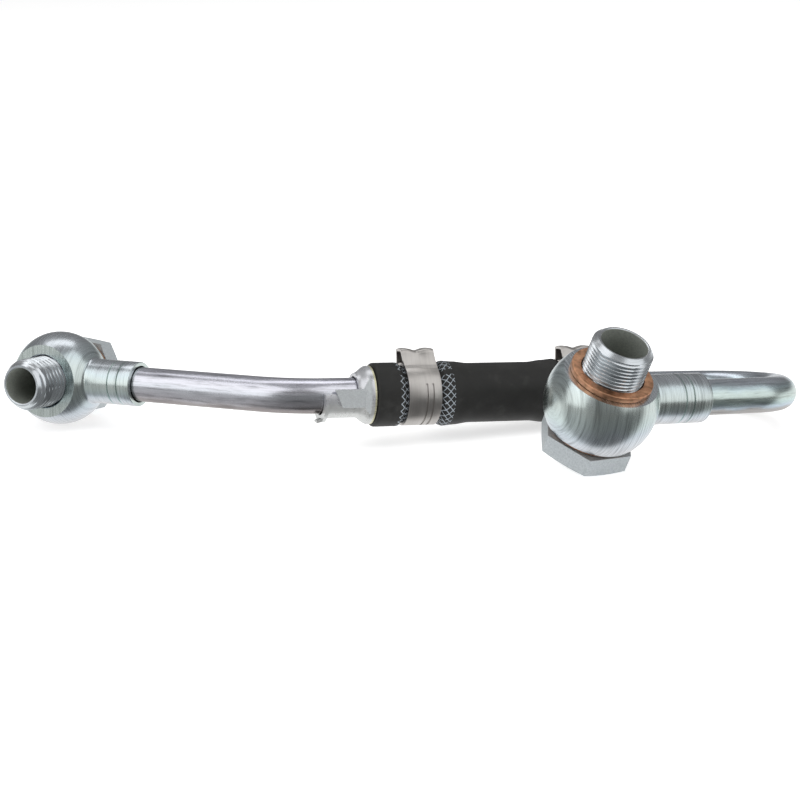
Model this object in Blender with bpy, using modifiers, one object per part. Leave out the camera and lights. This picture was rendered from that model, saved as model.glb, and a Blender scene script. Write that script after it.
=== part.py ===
"""Turbo coolant line: two banjo fittings, two steel tubes, and a rubber hose held by ear clamps.

The line is laid out on a bench with its tubes level, then set down as it comes to rest:
on a corner of the large bolt's head, on the hose's far end, and on the small banjo.
"""
import math

import bmesh
import bpy
from mathutils import Matrix, Vector

MM = 0.001

# Clearances
GAP = 0.3 * MM                  # between pieces that seat on or in each other

# Steel tubes
TUBE_OD = 9.5 * MM
TUBE_WALL = 1.0 * MM
INLET_RUN = 72.8 * MM           # small ball's centre to the corner of the inlet bend
INLET_LEAD = 21.2 * MM          # corner of the inlet bend to the hose's end
INLET_BEND = 41.5               # degrees, in plan
INLET_DROP = 2.4                # degrees that the inlet run falls towards the hose
INLET_BEND_RADIUS = 26.0 * MM
RETURN_LEAD = 22.4 * MM         # hose's end to the start of the U bend
U_BEND_RADIUS = 16.2 * MM
U_BEND = 171.4                  # degrees turned by the U bend
ARM_RUN = 48.3 * MM             # end of the U bend to the large ball's centre
TUBE_INSERT = 24.0 * MM         # length of each tube inside the hose
BEAD_HEIGHT = 0.6 * MM
BEAD_WIDTH = 2.4 * MM
BEAD_SETBACK = 5.0 * MM         # tube's end to the middle of its bead
BEAD_ROOT = 0.4 * MM            # how deep the bead's ring reaches into the tube's wall

# Hose
HOSE_LENGTH = 72.0 * MM
HOSE_BORE = 8.3 * MM
HOSE_WALL = 3.9 * MM
HOSE_EDGE = 0.8 * MM            # rounding of the hose's ends
HOSE_FLARE = 3.5 * MM           # length over which the hose narrows past a tube's end
HOSE_EASE = 0.8 * MM            # length over which a clamp's band squeezes the hose
HOSE_SWELL = 0.25 * MM          # bulge that the tube's bead gives the hose

# Ear clamps
CLAMP_WIDTH = 9.0 * MM
CLAMP_INSET = 8.5 * MM          # hose's end to the band's edge
CLAMP_BAND = 0.8 * MM
CLAMP_SQUEEZE = 1.2 * MM        # how far the band presses into the hose
BAND_EDGE = 0.15 * MM
EAR_HEIGHT = 4.0 * MM
EAR_FOOT = 3.3 * MM             # half the distance between the ear's feet
EAR_TOP = 2.3 * MM              # half the ear's width at its top
EAR_CROWN = 1.1 * MM            # bend of the ear's crown
EAR_ROOT = 0.5 * MM             # height at which the ear leaves its feet
EAR_FLANGE = 0.9 * MM           # how far a foot runs on inside the band
EAR_SHEET = 0.7 * MM
EAR_DIMPLE = 0.7 * MM           # depth of the press's mark in the ear's middle
EAR_DIMPLE_SHARE = 0.42         # its half width, of half the band's width
EAR_PINCH = 0.17 * MM           # how far the dimple draws the ear's sides in
EAR_LIP = 0.25 * MM             # how far the crown falls at the band's two edges
EAR_ROWS = 9
LANE_WIDTH = 2.2 * MM
LANE_TONGUE = 1.1 * MM
LANE_DEPTH = 0.35 * MM
LANE_OFFSET = 1.2 * MM          # lane's middle, from the band's middle
LANE_START = 3.2 * MM           # lane's ends above the hose's axis, short of the ear's feet

# Stop bracket
BRACKET_LENGTH = 13.9 * MM      # its end blade to the hose's end
BRACKET_SHEET = 0.9 * MM
BLADE_RADIUS = 7.0 * MM
FLARE_LENGTH = 3.4 * MM
FLARE_RADIUS = 7.8 * MM
RIM_LENGTH = 0.9 * MM
TAB_LENGTH = 9.6 * MM
TAB_HEIGHT = 4.8 * MM
TAB_SHEET = 1.3 * MM
TAB_SETBACK = 1.6 * MM
TAB_LEAN = 8.0                  # degrees
TAB_DROP = 0.4 * MM             # tab's middle below the hose's axis
SADDLE_TOP = 0.8 * MM           # saddle's upper edge above the hose's axis
FOOT_LENGTH = 1.6 * MM
FOOT_WIDTH = 2.4 * MM
FOOT_LEAN = 18.0                # degrees
FOOT_PLACE = (1.0 * MM, 0.6 * MM)       # towards the near side, up from the blade's lowest point
FOOT_ROOT = 0.2 * MM

# Copper washers
WASHER_THICKNESS = 1.2 * MM
WASHER_LAND = 2.7 * MM          # washer's width beyond the bolt

# Small banjo
SMALL_BALL = 26.0 * MM
SMALL_WIDTH = 16.4 * MM         # across its two flat faces
SMALL_COLLAR_OD = 12.2 * MM
SMALL_COLLAR_END = 26.0 * MM    # ball's centre to the collar's end
SMALL_GROOVES = (3.9 * MM, 6.8 * MM)    # from the collar's end
SMALL_TILT = 3.4                # degrees that its bolt dips towards the thread
SMALL_THREAD = 14.0 * MM
SMALL_HEX = 19.0 * MM           # across flats
SMALL_HEAD = 5.4 * MM
SMALL_BORE = 9.6 * MM
SMALL_REACH = 18.4 * MM         # ball's centre to the thread's end
SMALL_CHAMFER = (1.45 * MM, 2.2 * MM)   # across, along
SMALL_HEX_TURN = 53.3           # degrees from the tube to a corner

# Large banjo
LARGE_BALL = 29.2 * MM
LARGE_WIDTH = 15.8 * MM
LARGE_COLLAR_OD = 13.0 * MM
LARGE_COLLAR_END = 30.0 * MM
LARGE_GROOVES = (5.7 * MM, 8.2 * MM)
LARGE_TILT = 34.7               # degrees that its bolt leans out of plumb
LARGE_THREAD = 16.0 * MM
LARGE_HEX = 22.0 * MM
LARGE_HEAD = 5.4 * MM
LARGE_BORE = 12.0 * MM
LARGE_REACH = 18.5 * MM
LARGE_CHAMFER = (1.3 * MM, 1.3 * MM)
LARGE_HEX_TURN = 4.5

# Both banjos
EYE_CLEARANCE = 0.3 * MM        # bolt to eye, on the radius
EYE_RELIEF = 1.2 * MM           # depth of the ring channel inside the eye
EYE_RELIEF_WIDTH = 8.0 * MM
WAIST_DEPTH = 0.8 * MM          # bolt's waist below its thread, on the radius
WAIST_WIDTH = 7.0 * MM
CROSS_HOLE = 4.5 * MM
CROSS_HOLE_TURN = 41.0          # degrees from the tube to a cross hole
GROOVE_WIDTH = 0.5 * MM
GROOVE_DEPTH = 0.35 * MM
NECK_FILLET = 1.2 * MM
SEAT_DEPTH = 9.0 * MM           # length of tube inside a collar
BOLT_LIP = 0.35 * MM            # chamfer at the bore's mouth
BOLT_FLOOR = 1.0 * MM           # bore's depth above the head's underside
EDGE = 0.25 * MM                # broken edge on collars and washers
CUT_MARGIN = 2.0 * MM           # how far a cutter runs past what it cuts
TUBE_RUN_OUT = 5.0 * MM         # the same, for a tube's bore

# Facets
BALL_SIDES = 32
BALL_RINGS = 14
ROUND_SIDES = 28
BAND_SIDES = 32
TUBE_SIDES = 20
BEAD_RINGS = 6
HOLE_SIDES = 16
BEND_STEP = 10.0                # degrees between rings in a bend
CREASE = 32.0                   # degrees above which an edge stays sharp

REST_STEPS = 20                 # rounds of the search for the resting plane
PLAN_TURN = 17.6                # degrees from the longest extent to the hose's line

STEEL = (0.56, 0.57, 0.56)
TINTED = (0.50, 0.54, 0.53)
COPPER = (0.62, 0.34, 0.20)
RUBBER = (0.025, 0.026, 0.026)
STAINLESS = (0.46, 0.44, 0.42)


def clear_scene():
    for obj in list(bpy.data.objects):
        bpy.data.objects.remove(obj, do_unlink=True)


def make_collection(name):
    collection = bpy.data.collections.new(name)
    bpy.context.scene.collection.children.link(collection)
    return collection


def make_material(name, colour, roughness, metallic):
    material = bpy.data.materials.new(name)
    material.use_nodes = True
    shader = material.node_tree.nodes["Principled BSDF"]
    shader.inputs["Base Color"].default_value = (*colour, 1.0)
    shader.inputs["Roughness"].default_value = roughness
    shader.inputs["Metallic"].default_value = metallic
    return material


clear_scene()
PARTS = make_collection("turbo_coolant_line")
CUTTERS = make_collection("cutters")


def add_object(name, mesh, parent, material=None):
    """Link a mesh as a part, or as a cutter where it has no material."""
    obj = bpy.data.objects.new(name, mesh)
    if material is None:
        CUTTERS.objects.link(obj)
        obj.hide_render = True
        obj.display_type = "WIRE"
    else:
        PARTS.objects.link(obj)
        mesh.materials.append(material)
    obj.parent = parent
    return obj


def add_frame(name, matrix, parent=None):
    empty = bpy.data.objects.new(name, None)
    CUTTERS.objects.link(empty)
    empty.parent = parent
    empty.matrix_local = matrix
    return empty


def axes_matrix(x_axis, z_axis, origin):
    """Frame with its X and Z along two square directions."""
    y_axis = z_axis.cross(x_axis)
    matrix = Matrix((x_axis, y_axis, z_axis)).transposed().to_4x4()
    matrix.translation = origin
    return matrix


def smooth(obj):
    obj.data.shade_smooth()
    obj.data.set_sharp_from_angle(angle=math.radians(CREASE))


def turned(name, profile, parent, material=None, closed=False, sides=ROUND_SIDES, along_x=False):
    """Revolve a profile of (radius, height) points that runs down its outer side."""
    mesh = bpy.data.meshes.new(name)
    bm = bmesh.new()
    verts = [bm.verts.new((radius, 0.0, height)) for radius, height in profile]
    pairs = list(zip(verts, verts[1:]))
    if closed:
        pairs.append((verts[-1], verts[0]))
    for first, second in pairs:
        bm.edges.new((first, second))
    bm.to_mesh(mesh)
    bm.free()
    obj = add_object(name, mesh, parent, material)
    screw = obj.modifiers.new("Turn", "SCREW")
    screw.axis = "Z"
    screw.angle = math.tau
    screw.steps = sides
    screw.render_steps = sides
    screw.use_merge_vertices = True
    screw.merge_threshold = 0.00001
    screw.use_smooth_shade = True
    if along_x:
        obj.rotation_euler = (0.0, math.radians(90.0), 0.0)
    return obj


def block(name, size, centre, parent, material=None):
    mesh = bpy.data.meshes.new(name)
    bm = bmesh.new()
    bmesh.ops.create_cube(bm, size=1.0)
    bmesh.ops.scale(bm, vec=size, verts=bm.verts)
    bm.to_mesh(mesh)
    bm.free()
    obj = add_object(name, mesh, parent, material)
    obj.location = centre
    return obj


def rod(name, radius, length, parent, sides=ROUND_SIDES):
    """Cylinder along Z for cutting, centred on its parent."""
    mesh = bpy.data.meshes.new(name)
    bm = bmesh.new()
    bmesh.ops.create_cone(bm, cap_ends=True, segments=sides, radius1=radius, radius2=radius, depth=length)
    bm.to_mesh(mesh)
    bm.free()
    return add_object(name, mesh, parent)


def combine(obj, other, operation):
    boolean = obj.modifiers.new(other.name, "BOOLEAN")
    boolean.operation = operation
    boolean.solver = "EXACT"
    boolean.object = other


def arc(centre, radius, start, stop, count):
    """Points of (radius, height) on an arc, angles in degrees from the outward side."""
    points = []
    for index in range(count + 1):
        angle = math.radians(start + (stop - start) * index / count)
        points.append((centre[0] + radius * math.cos(angle), centre[1] + radius * math.sin(angle)))
    return points


class Route:
    """Where the tubes run on the bench: the hose lies along X from the origin."""

    def __init__(self):
        turn = math.radians(INLET_BEND)
        drop = math.radians(INLET_DROP)
        self.inlet = Vector((math.cos(turn) * math.cos(drop), -math.sin(turn) * math.cos(drop), -math.sin(drop)))
        self.corner = Vector((-INLET_LEAD, 0.0, 0.0))
        self.small = self.corner - self.inlet * INLET_RUN
        self.u_start = Vector((HOSE_LENGTH + RETURN_LEAD, 0.0, 0.0))
        self.u_centre = self.u_start + Vector((0.0, -U_BEND_RADIUS, 0.0))
        swept = math.radians(U_BEND)
        self.u_end = self.u_centre + Vector((math.sin(swept), math.cos(swept), 0.0)) * U_BEND_RADIUS
        self.arm = Vector((-math.cos(swept), math.sin(swept), 0.0))
        self.large = self.u_end - self.arm * ARM_RUN
        up = Vector((0.0, 0.0, 1.0))
        level = self.inlet.cross(up).normalized()
        rise = level.cross(self.inlet)
        lean = math.radians(SMALL_TILT)
        self.small_bolt = level * math.cos(lean) - rise * math.sin(lean)
        side = self.arm.cross(up)
        lean = math.radians(LARGE_TILT)
        self.large_bolt = up * math.cos(lean) + side * math.sin(lean)

    def small_frame(self):
        return axes_matrix(self.inlet, self.small_bolt, self.small)

    def large_frame(self):
        return axes_matrix(self.arm, self.large_bolt, self.large)

    def inlet_points(self):
        """Small collar's seat, round the inlet bend, to the tube's end in the hose."""
        start = self.small + self.inlet * (SMALL_COLLAR_END - SEAT_DEPTH)
        leaving = Vector((1.0, 0.0, 0.0))
        turn = self.inlet.angle(leaving)
        tangent = INLET_BEND_RADIUS * math.tan(turn / 2.0)
        first = self.corner - self.inlet * tangent
        inward = (leaving - self.inlet * self.inlet.dot(leaving)).normalized()
        centre = first + inward * INLET_BEND_RADIUS
        count = math.ceil(math.degrees(turn) / BEND_STEP)
        points = [start]
        for index in range(count + 1):
            angle = turn * index / count
            offset = self.inlet * math.sin(angle) - inward * math.cos(angle)
            points.append(centre + offset * INLET_BEND_RADIUS)
        points.append(Vector((TUBE_INSERT, 0.0, 0.0)))
        return points

    def return_points(self):
        """Tube's end in the hose, round the U bend, to the large collar's seat."""
        points = [Vector((HOSE_LENGTH - TUBE_INSERT, 0.0, 0.0))]
        count = math.ceil(U_BEND / BEND_STEP)
        for index in range(count + 1):
            angle = math.radians(U_BEND) * index / count
            offset = Vector((math.sin(angle), math.cos(angle), 0.0))
            points.append(self.u_centre + offset * U_BEND_RADIUS)
        points.append(self.large + self.arm * (LARGE_COLLAR_END - SEAT_DEPTH))
        return points


ROUTE = Route()


def hose_radii():
    """Bore and outer radius where the hose is free, and where it is stretched on a tube."""
    free_bore = HOSE_BORE / 2.0
    free_outer = free_bore + HOSE_WALL
    tube_bore = TUBE_OD / 2.0 + GAP
    tube_outer = math.sqrt(free_outer ** 2 - free_bore ** 2 + tube_bore ** 2)
    return free_bore, free_outer, tube_bore, tube_outer


def band_radii():
    """Inner and outer radius of a clamp's band, pressed into the hose."""
    inner = hose_radii()[3] - CLAMP_SQUEEZE + GAP
    return inner, inner + CLAMP_BAND


def head_corners(frame, width, head, hexagon, hex_turn):
    """Corners of a bolt head's outer face on the bench."""
    depth = width / 2.0 + WASHER_THICKNESS + 2.0 * GAP + head
    radius = hexagon / math.sqrt(3.0)
    corners = []
    for index in range(6):
        angle = math.radians(hex_turn + 60.0 * index)
        corners.append(frame @ Vector((radius * math.cos(angle), radius * math.sin(angle), -depth)))
    return corners


def lowest_of_ring(distance, radius, normal):
    """Lowest point of a ring round the hose's axis."""
    down = Vector((0.0, -normal.y, -normal.z)).normalized()
    return Vector((distance, 0.0, 0.0)) + down * radius


def resting_normal(route):
    """Upward normal of the floor under the large head, the hose or return tube, and the small banjo."""
    large = head_corners(route.large_frame(), LARGE_WIDTH, LARGE_HEAD, LARGE_HEX, LARGE_HEX_TURN)
    small = head_corners(route.small_frame(), SMALL_WIDTH, SMALL_HEAD, SMALL_HEX, SMALL_HEX_TURN)
    normal = Vector((0.0, 0.0, 1.0))
    for _ in range(REST_STEPS):
        head = min(large, key=normal.dot)
        tube = min(route.return_points(), key=normal.dot) - normal * TUBE_OD / 2.0
        hose_end = lowest_of_ring(HOSE_LENGTH - HOSE_EDGE, hose_radii()[3], normal)
        band_edge = lowest_of_ring(HOSE_LENGTH - CLAMP_INSET, band_radii()[1], normal)
        back = min([tube, hose_end, band_edge], key=normal.dot)
        ball = route.small - normal * SMALL_BALL / 2.0
        near = min([ball, *small], key=normal.dot)
        normal = (back - head).cross(near - head).normalized()
        if normal.z < 0.0:
            normal.negate()
    return normal, head


def rest_matrix(route):
    """Bench to floor: the contact plane is level and the hose's line is turned in plan."""
    normal, contact = resting_normal(route)
    level = normal.rotation_difference(Vector((0.0, 0.0, 1.0))).to_matrix().to_4x4()
    turn = Matrix.Rotation(math.radians(PLAN_TURN), 4, "Z")
    matrix = turn @ level
    return Matrix.Translation((0.0, 0.0, -(matrix @ contact).z)) @ matrix


def swept_rod(name, points, radius, parent, sides, material=None):
    """Round rod along a route, as a curve made into a welded mesh."""
    curve = bpy.data.curves.new(name, "CURVE")
    curve.dimensions = "3D"
    spline = curve.splines.new("POLY")
    spline.points.add(len(points) - 1)
    for point, place in zip(spline.points, points):
        point.co = (*place, 1.0)
    curve.bevel_depth = radius
    curve.bevel_resolution = sides // 4 - 1 if sides > 8 else 1
    curve.use_fill_caps = True
    carrier = bpy.data.objects.new(name + "_route", curve)
    CUTTERS.objects.link(carrier)
    carrier.parent = parent
    depsgraph = bpy.context.evaluated_depsgraph_get()
    mesh = bpy.data.meshes.new_from_object(carrier.evaluated_get(depsgraph))
    bm = bmesh.new()
    bm.from_mesh(mesh)
    bmesh.ops.remove_doubles(bm, verts=bm.verts, dist=0.000005)
    bmesh.ops.recalc_face_normals(bm, faces=bm.faces)
    bm.to_mesh(mesh)
    bm.free()
    mesh.name = name
    bpy.data.objects.remove(carrier, do_unlink=True)
    return add_object(name, mesh, parent, material)


def extended(points, extra):
    """Route with both ends drawn out, for a bore that cuts right through."""
    first = points[0] + (points[0] - points[1]).normalized() * extra
    last = points[-1] + (points[-1] - points[-2]).normalized() * extra
    return [first, *points[1:-1], last]


def bead_profile(setback, end, direction):
    """Outline of a bead ring with its foot inside the tube's wall."""
    middle = end - direction * setback
    crest = TUBE_OD / 2.0
    root = crest - BEAD_ROOT
    half = BEAD_WIDTH / 2.0
    points = [(root, middle + half)]
    for index in range(1, BEAD_RINGS):
        angle = math.pi * index / BEAD_RINGS
        points.append((crest + BEAD_HEIGHT * math.sin(angle), middle + half * math.cos(angle)))
    points.append((root, middle - half))
    return points


def build_tube(name, points, bead_end, direction, bench, material):
    tube = swept_rod(name, points, TUBE_OD / 2.0, bench, TUBE_SIDES, material)
    ring = turned(name + "_bead", bead_profile(BEAD_SETBACK, bead_end, direction), bench,
                  closed=True, sides=TUBE_SIDES, along_x=True)
    combine(tube, ring, "UNION")
    bore = swept_rod(name + "_bore", extended(points, TUBE_RUN_OUT), TUBE_OD / 2.0 - TUBE_WALL, bench,
                     TUBE_SIDES)
    combine(tube, bore, "DIFFERENCE")
    smooth(tube)
    return tube


def eye_profile(ball, collar_od, collar_end, grooves):
    """Bore, collar with its grooves, neck and ball, as turned about the tube's axis."""
    seat = TUBE_OD / 2.0 + GAP
    passage = TUBE_OD / 2.0 - TUBE_WALL
    shoulder = collar_end - SEAT_DEPTH - GAP
    collar = collar_od / 2.0
    radius = ball / 2.0
    points = [(0.0, 0.0), (passage, 0.0), (passage, shoulder), (seat, shoulder), (seat, collar_end)]
    points += [(collar - EDGE, collar_end), (collar, collar_end - EDGE)]
    for groove in grooves:
        middle = collar_end - groove
        points += [(collar, middle + GROOVE_WIDTH / 2.0), (collar - GROOVE_DEPTH, middle + GROOVE_WIDTH / 4.0),
                   (collar - GROOVE_DEPTH, middle - GROOVE_WIDTH / 4.0), (collar, middle - GROOVE_WIDTH / 2.0)]
    # A fillet that touches both the collar and the ball
    centre_radius = collar + NECK_FILLET
    centre_height = math.sqrt((radius + NECK_FILLET) ** 2 - centre_radius ** 2)
    meeting = math.degrees(math.atan2(centre_height, centre_radius))
    points += arc((centre_radius, centre_height), NECK_FILLET, 180.0, 180.0 + meeting, 3)
    points += arc((0.0, 0.0), radius, meeting, -90.0, BALL_RINGS)[1:-1]
    points.append((0.0, -radius))
    return points


def bore_profile(thread, width):
    """Eye's cross bore, with a ring channel that feeds the tube."""
    bore = thread / 2.0 + EYE_CLEARANCE
    relief = bore + EYE_RELIEF
    half = EYE_RELIEF_WIDTH / 2.0
    top = width / 2.0 + CUT_MARGIN
    return [(0.0, top), (bore, top), (bore, half + EYE_RELIEF), (relief, half), (relief, -half),
            (bore, -half - EYE_RELIEF), (bore, -top), (0.0, -top)]


def build_eye(name, frame, material, ball, width, collar_od, collar_end, grooves, thread):
    profile = eye_profile(ball, collar_od, collar_end, grooves)
    eye = turned(name, profile, frame, material, sides=BALL_SIDES, along_x=True)
    slab = block(name + "_slab", (4.0 * collar_end, 2.0 * ball, width), (0.0, 0.0, 0.0), frame)
    combine(eye, slab, "INTERSECT")
    cross_bore = turned(name + "_cross_bore", bore_profile(thread, width), frame)
    cross_bore.rotation_euler = (0.0, 0.0, math.pi / ROUND_SIDES)
    combine(eye, cross_bore, "DIFFERENCE")
    return eye


def bolt_profile(thread, hexagon, head, bore, reach, chamfer, face):
    """Hollow bolt as turned from hexagon bar: bore, thread, waist, shoulder and head."""
    shank = thread / 2.0
    inner = bore / 2.0
    corner = hexagon / math.sqrt(3.0) + CUT_MARGIN
    half = WAIST_WIDTH / 2.0
    waist = shank - WAIST_DEPTH
    floor = -face + BOLT_FLOOR
    across, along = chamfer
    return [(0.0, floor - inner / 2.0), (inner, floor), (inner, reach - BOLT_LIP), (inner + BOLT_LIP, reach),
            (shank - across, reach), (shank, reach - along), (shank, half + WAIST_DEPTH),
            (waist, half), (waist, -half), (shank, -half - WAIST_DEPTH), (shank, -face),
            (corner, -face), (corner, -face - head), (0.0, -face - head)]


def build_bolt(name, frame, material, thread, hexagon, head, bore, reach, chamfer, width, hex_turn):
    face = width / 2.0 + WASHER_THICKNESS + 2.0 * GAP
    profile = bolt_profile(thread, hexagon, head, bore, reach, chamfer, face)
    bolt = turned(name, profile, frame, material)
    bar = rod(name + "_bar", hexagon / math.sqrt(3.0), 4.0 * reach, frame, sides=6)
    bar.rotation_euler = (0.0, 0.0, math.radians(hex_turn + 90.0))
    combine(bolt, bar, "INTERSECT")
    for index in range(2):
        hole = rod(f"{name}_cross_hole_{index}", CROSS_HOLE / 2.0, 2.0 * thread, frame, sides=HOLE_SIDES)
        hole.rotation_euler = (math.radians(90.0), 0.0, math.radians(CROSS_HOLE_TURN + 90.0 * index))
        combine(bolt, hole, "DIFFERENCE")
    return bolt


def build_washer(name, frame, material, thread, lower):
    """Flat copper ring with its lower face at a given height on the bolt."""
    inner = thread / 2.0 + GAP
    outer = thread / 2.0 + WASHER_LAND
    top = lower + WASHER_THICKNESS
    profile = [(inner, top), (outer - EDGE, top), (outer, top - EDGE), (outer, lower + EDGE),
               (outer - EDGE, lower), (inner, lower)]
    return turned(name, profile, frame, material, closed=True)


def hose_half_outer():
    """Outer outline from the hose's end to its middle, as (radius, distance from the end)."""
    _, free_outer, _, tube_outer = hose_radii()
    squeezed = tube_outer - CLAMP_SQUEEZE
    start = CLAMP_INSET
    stop = CLAMP_INSET + CLAMP_WIDTH
    points = arc((tube_outer - HOSE_EDGE, HOSE_EDGE), HOSE_EDGE, -90.0, 0.0, 2)
    points += [(tube_outer, start - 2.0 * HOSE_EASE), (squeezed, start - HOSE_EASE / 2.0),
               (squeezed, stop + HOSE_EASE / 2.0), (tube_outer, stop + 2.0 * HOSE_EASE)]
    bead = TUBE_INSERT - BEAD_SETBACK
    points += [(tube_outer + HOSE_SWELL, max(bead, stop + 3.0 * HOSE_EASE)),
               (tube_outer, TUBE_INSERT - HOSE_FLARE / 3.0),
               ((tube_outer + free_outer) / 2.0, TUBE_INSERT + HOSE_FLARE / 2.0),
               (free_outer, TUBE_INSERT + HOSE_FLARE)]
    return points


def hose_half_bore():
    """Bore outline from the hose's end to its middle, clear of the tube and its bead."""
    free_bore, _, tube_bore, _ = hose_radii()
    bead = TUBE_INSERT - BEAD_SETBACK
    half = BEAD_WIDTH / 2.0 + GAP
    return [(tube_bore, 0.0), (tube_bore, bead - half - BEAD_HEIGHT), (tube_bore + BEAD_HEIGHT, bead - half),
            (tube_bore + BEAD_HEIGHT, bead + half), (tube_bore, bead + half + BEAD_HEIGHT),
            (tube_bore, TUBE_INSERT + GAP), (free_bore, TUBE_INSERT + GAP + BEAD_HEIGHT)]


def build_hose(bench, material):
    outer = hose_half_outer()
    bore = hose_half_bore()
    far_outer = [(radius, HOSE_LENGTH - height) for radius, height in outer]
    far_bore = [(radius, HOSE_LENGTH - height) for radius, height in bore]
    profile = far_outer + outer[::-1] + bore + far_bore[::-1]
    return turned("coolant_hose", profile, bench, material, closed=True, along_x=True)


def ear_path():
    """Half of the ear's outline across the hose, from the foot inside the band to the crown."""
    crown = (EAR_TOP - EAR_CROWN, EAR_HEIGHT - EAR_CROWN)
    return [(EAR_FOOT + EAR_FLANGE, 0.0), (EAR_FOOT, EAR_ROOT), *arc(crown, EAR_CROWN, 0.0, 90.0, 3)]


def ear_point(seat, share, across, rise):
    """Point of the ear's middle surface: share is -1 to 1 over the band's width."""
    lifted = rise / EAR_HEIGHT
    mark = math.exp(-((share / EAR_DIMPLE_SHARE) ** 2))
    sunk = (EAR_DIMPLE * mark + EAR_LIP * abs(share) ** 6) * lifted
    narrowed = across * (1.0 - EAR_PINCH / EAR_TOP * mark * lifted)
    round_drop = seat - math.sqrt(seat ** 2 - across ** 2)
    return share * CLAMP_WIDTH / 2.0, narrowed, seat + rise - sunk - round_drop * (1.0 - lifted)


def build_ear(name, frame, seat):
    """Formed ear: a strip bent over like a staple, with a dimple pressed into its middle."""
    half = ear_path()
    path = half + [(-across, rise) for across, rise in reversed(half)]
    bm = bmesh.new()
    grid = []
    for row in range(EAR_ROWS):
        share = row / (EAR_ROWS - 1) * 2.0 - 1.0
        grid.append([bm.verts.new(ear_point(seat, share, across, rise)) for across, rise in path])
    for near, far in zip(grid, grid[1:]):
        for column in range(len(path) - 1):
            bm.faces.new((near[column], far[column], far[column + 1], near[column + 1]))
    bmesh.ops.recalc_face_normals(bm, faces=bm.faces)
    mesh = bpy.data.meshes.new(name)
    bm.to_mesh(mesh)
    bm.free()
    ear = add_object(name, mesh, frame)
    sheet = ear.modifiers.new("Sheet", "SOLIDIFY")
    sheet.thickness = EAR_SHEET
    sheet.offset = 0.0
    return ear


def build_clamp(name, bench, start, material):
    """Band with its lane and ear, in a frame at the band's middle on the hose's axis."""
    inner, outer = band_radii()
    half = CLAMP_WIDTH / 2.0
    frame = add_frame(name + "_frame", Matrix.Translation((start + half, 0.0, 0.0)), bench)
    profile = [(inner, half), (outer - BAND_EDGE, half), (outer, half - BAND_EDGE),
               (outer, -half + BAND_EDGE), (outer - BAND_EDGE, -half), (inner, -half)]
    band = turned(name, profile, frame, material, closed=True, sides=BAND_SIDES, along_x=True)
    combine(band, build_ear(name + "_ear", frame, inner + CLAMP_BAND / 2.0), "UNION")
    groove = (LANE_WIDTH - LANE_TONGUE) / 2.0
    for index, side in enumerate((-1.0, 1.0)):
        middle = LANE_OFFSET + side * (LANE_TONGUE + groove) / 2.0
        ring = [(outer - LANE_DEPTH, middle + groove / 2.0), (outer + CLAMP_BAND, middle + groove / 2.0),
                (outer + CLAMP_BAND, middle - groove / 2.0), (outer - LANE_DEPTH, middle - groove / 2.0)]
        lane = turned(f"{name}_lane_{index}", ring, frame, closed=True, sides=BAND_SIDES, along_x=True)
        guard = block(f"{name}_guard_{index}", (CLAMP_WIDTH, 4.0 * outer, 2.0 * outer),
                      (0.0, 0.0, outer + LANE_START), frame)
        combine(lane, guard, "DIFFERENCE")
        combine(band, lane, "DIFFERENCE")
    return band


def bracket_profile():
    """Blade, saddle and flare in one outline along the hose's axis."""
    inner = TUBE_OD / 2.0 + GAP
    sheet = BRACKET_SHEET
    outer = inner + sheet
    rim = -GAP
    flare = rim - RIM_LENGTH
    neck = flare - FLARE_LENGTH
    blade = -BRACKET_LENGTH
    return [(inner + FLARE_RADIUS - outer, rim), (FLARE_RADIUS, rim), (FLARE_RADIUS, flare),
            (outer, neck), (outer, blade + sheet), (BLADE_RADIUS, blade + sheet),
            (BLADE_RADIUS, blade), (inner, blade), (inner, neck), (FLARE_RADIUS - sheet, flare)]


def build_bracket(bench, material):
    """Pressed stop bracket that cradles the tube and holds the hose's end square."""
    bracket = turned("hose_stop_bracket", bracket_profile(), bench, material, closed=True, along_x=True)
    neck = -GAP - RIM_LENGTH - FLARE_LENGTH
    opening = block("bracket_opening", (BRACKET_LENGTH, 4.0 * BLADE_RADIUS, 2.0 * BLADE_RADIUS),
                    (neck - BRACKET_LENGTH / 2.0, 0.0, BLADE_RADIUS + SADDLE_TOP), bench)
    combine(bracket, opening, "DIFFERENCE")
    near = TUBE_OD / 2.0 + GAP + BRACKET_SHEET
    tab = block("bracket_tab", (TAB_LENGTH, TAB_SHEET, TAB_HEIGHT),
                (-TAB_SETBACK - TAB_LENGTH / 2.0, -near, -TAB_DROP), bench)
    tab.rotation_euler = (math.radians(TAB_LEAN), 0.0, 0.0)
    combine(bracket, tab, "UNION")
    aside, above = FOOT_PLACE
    foot = block("bracket_foot", (FOOT_LENGTH, FOOT_WIDTH, BRACKET_SHEET),
                 (FOOT_ROOT - BRACKET_LENGTH - FOOT_LENGTH / 2.0, -aside, above - BLADE_RADIUS), bench)
    foot.rotation_euler = (0.0, math.radians(-FOOT_LEAN), 0.0)
    combine(bracket, foot, "UNION")
    return bracket


def centre_on_floor(bench):
    """Shift the bench in plan so that the origin lies under the middle of the part."""
    bpy.context.view_layer.update()
    depsgraph = bpy.context.evaluated_depsgraph_get()
    low = Vector((1.0, 1.0))
    high = Vector((-1.0, -1.0))
    for obj in PARTS.objects:
        evaluated = obj.evaluated_get(depsgraph)
        mesh = evaluated.to_mesh()
        for vertex in mesh.vertices:
            place = evaluated.matrix_world @ vertex.co
            low = Vector((min(low.x, place.x), min(low.y, place.y)))
            high = Vector((max(high.x, place.x), max(high.y, place.y)))
        evaluated.to_mesh_clear()
    middle = (low + high) / 2.0
    bench.location.x -= middle.x
    bench.location.y -= middle.y
    bpy.context.view_layer.update()


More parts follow.
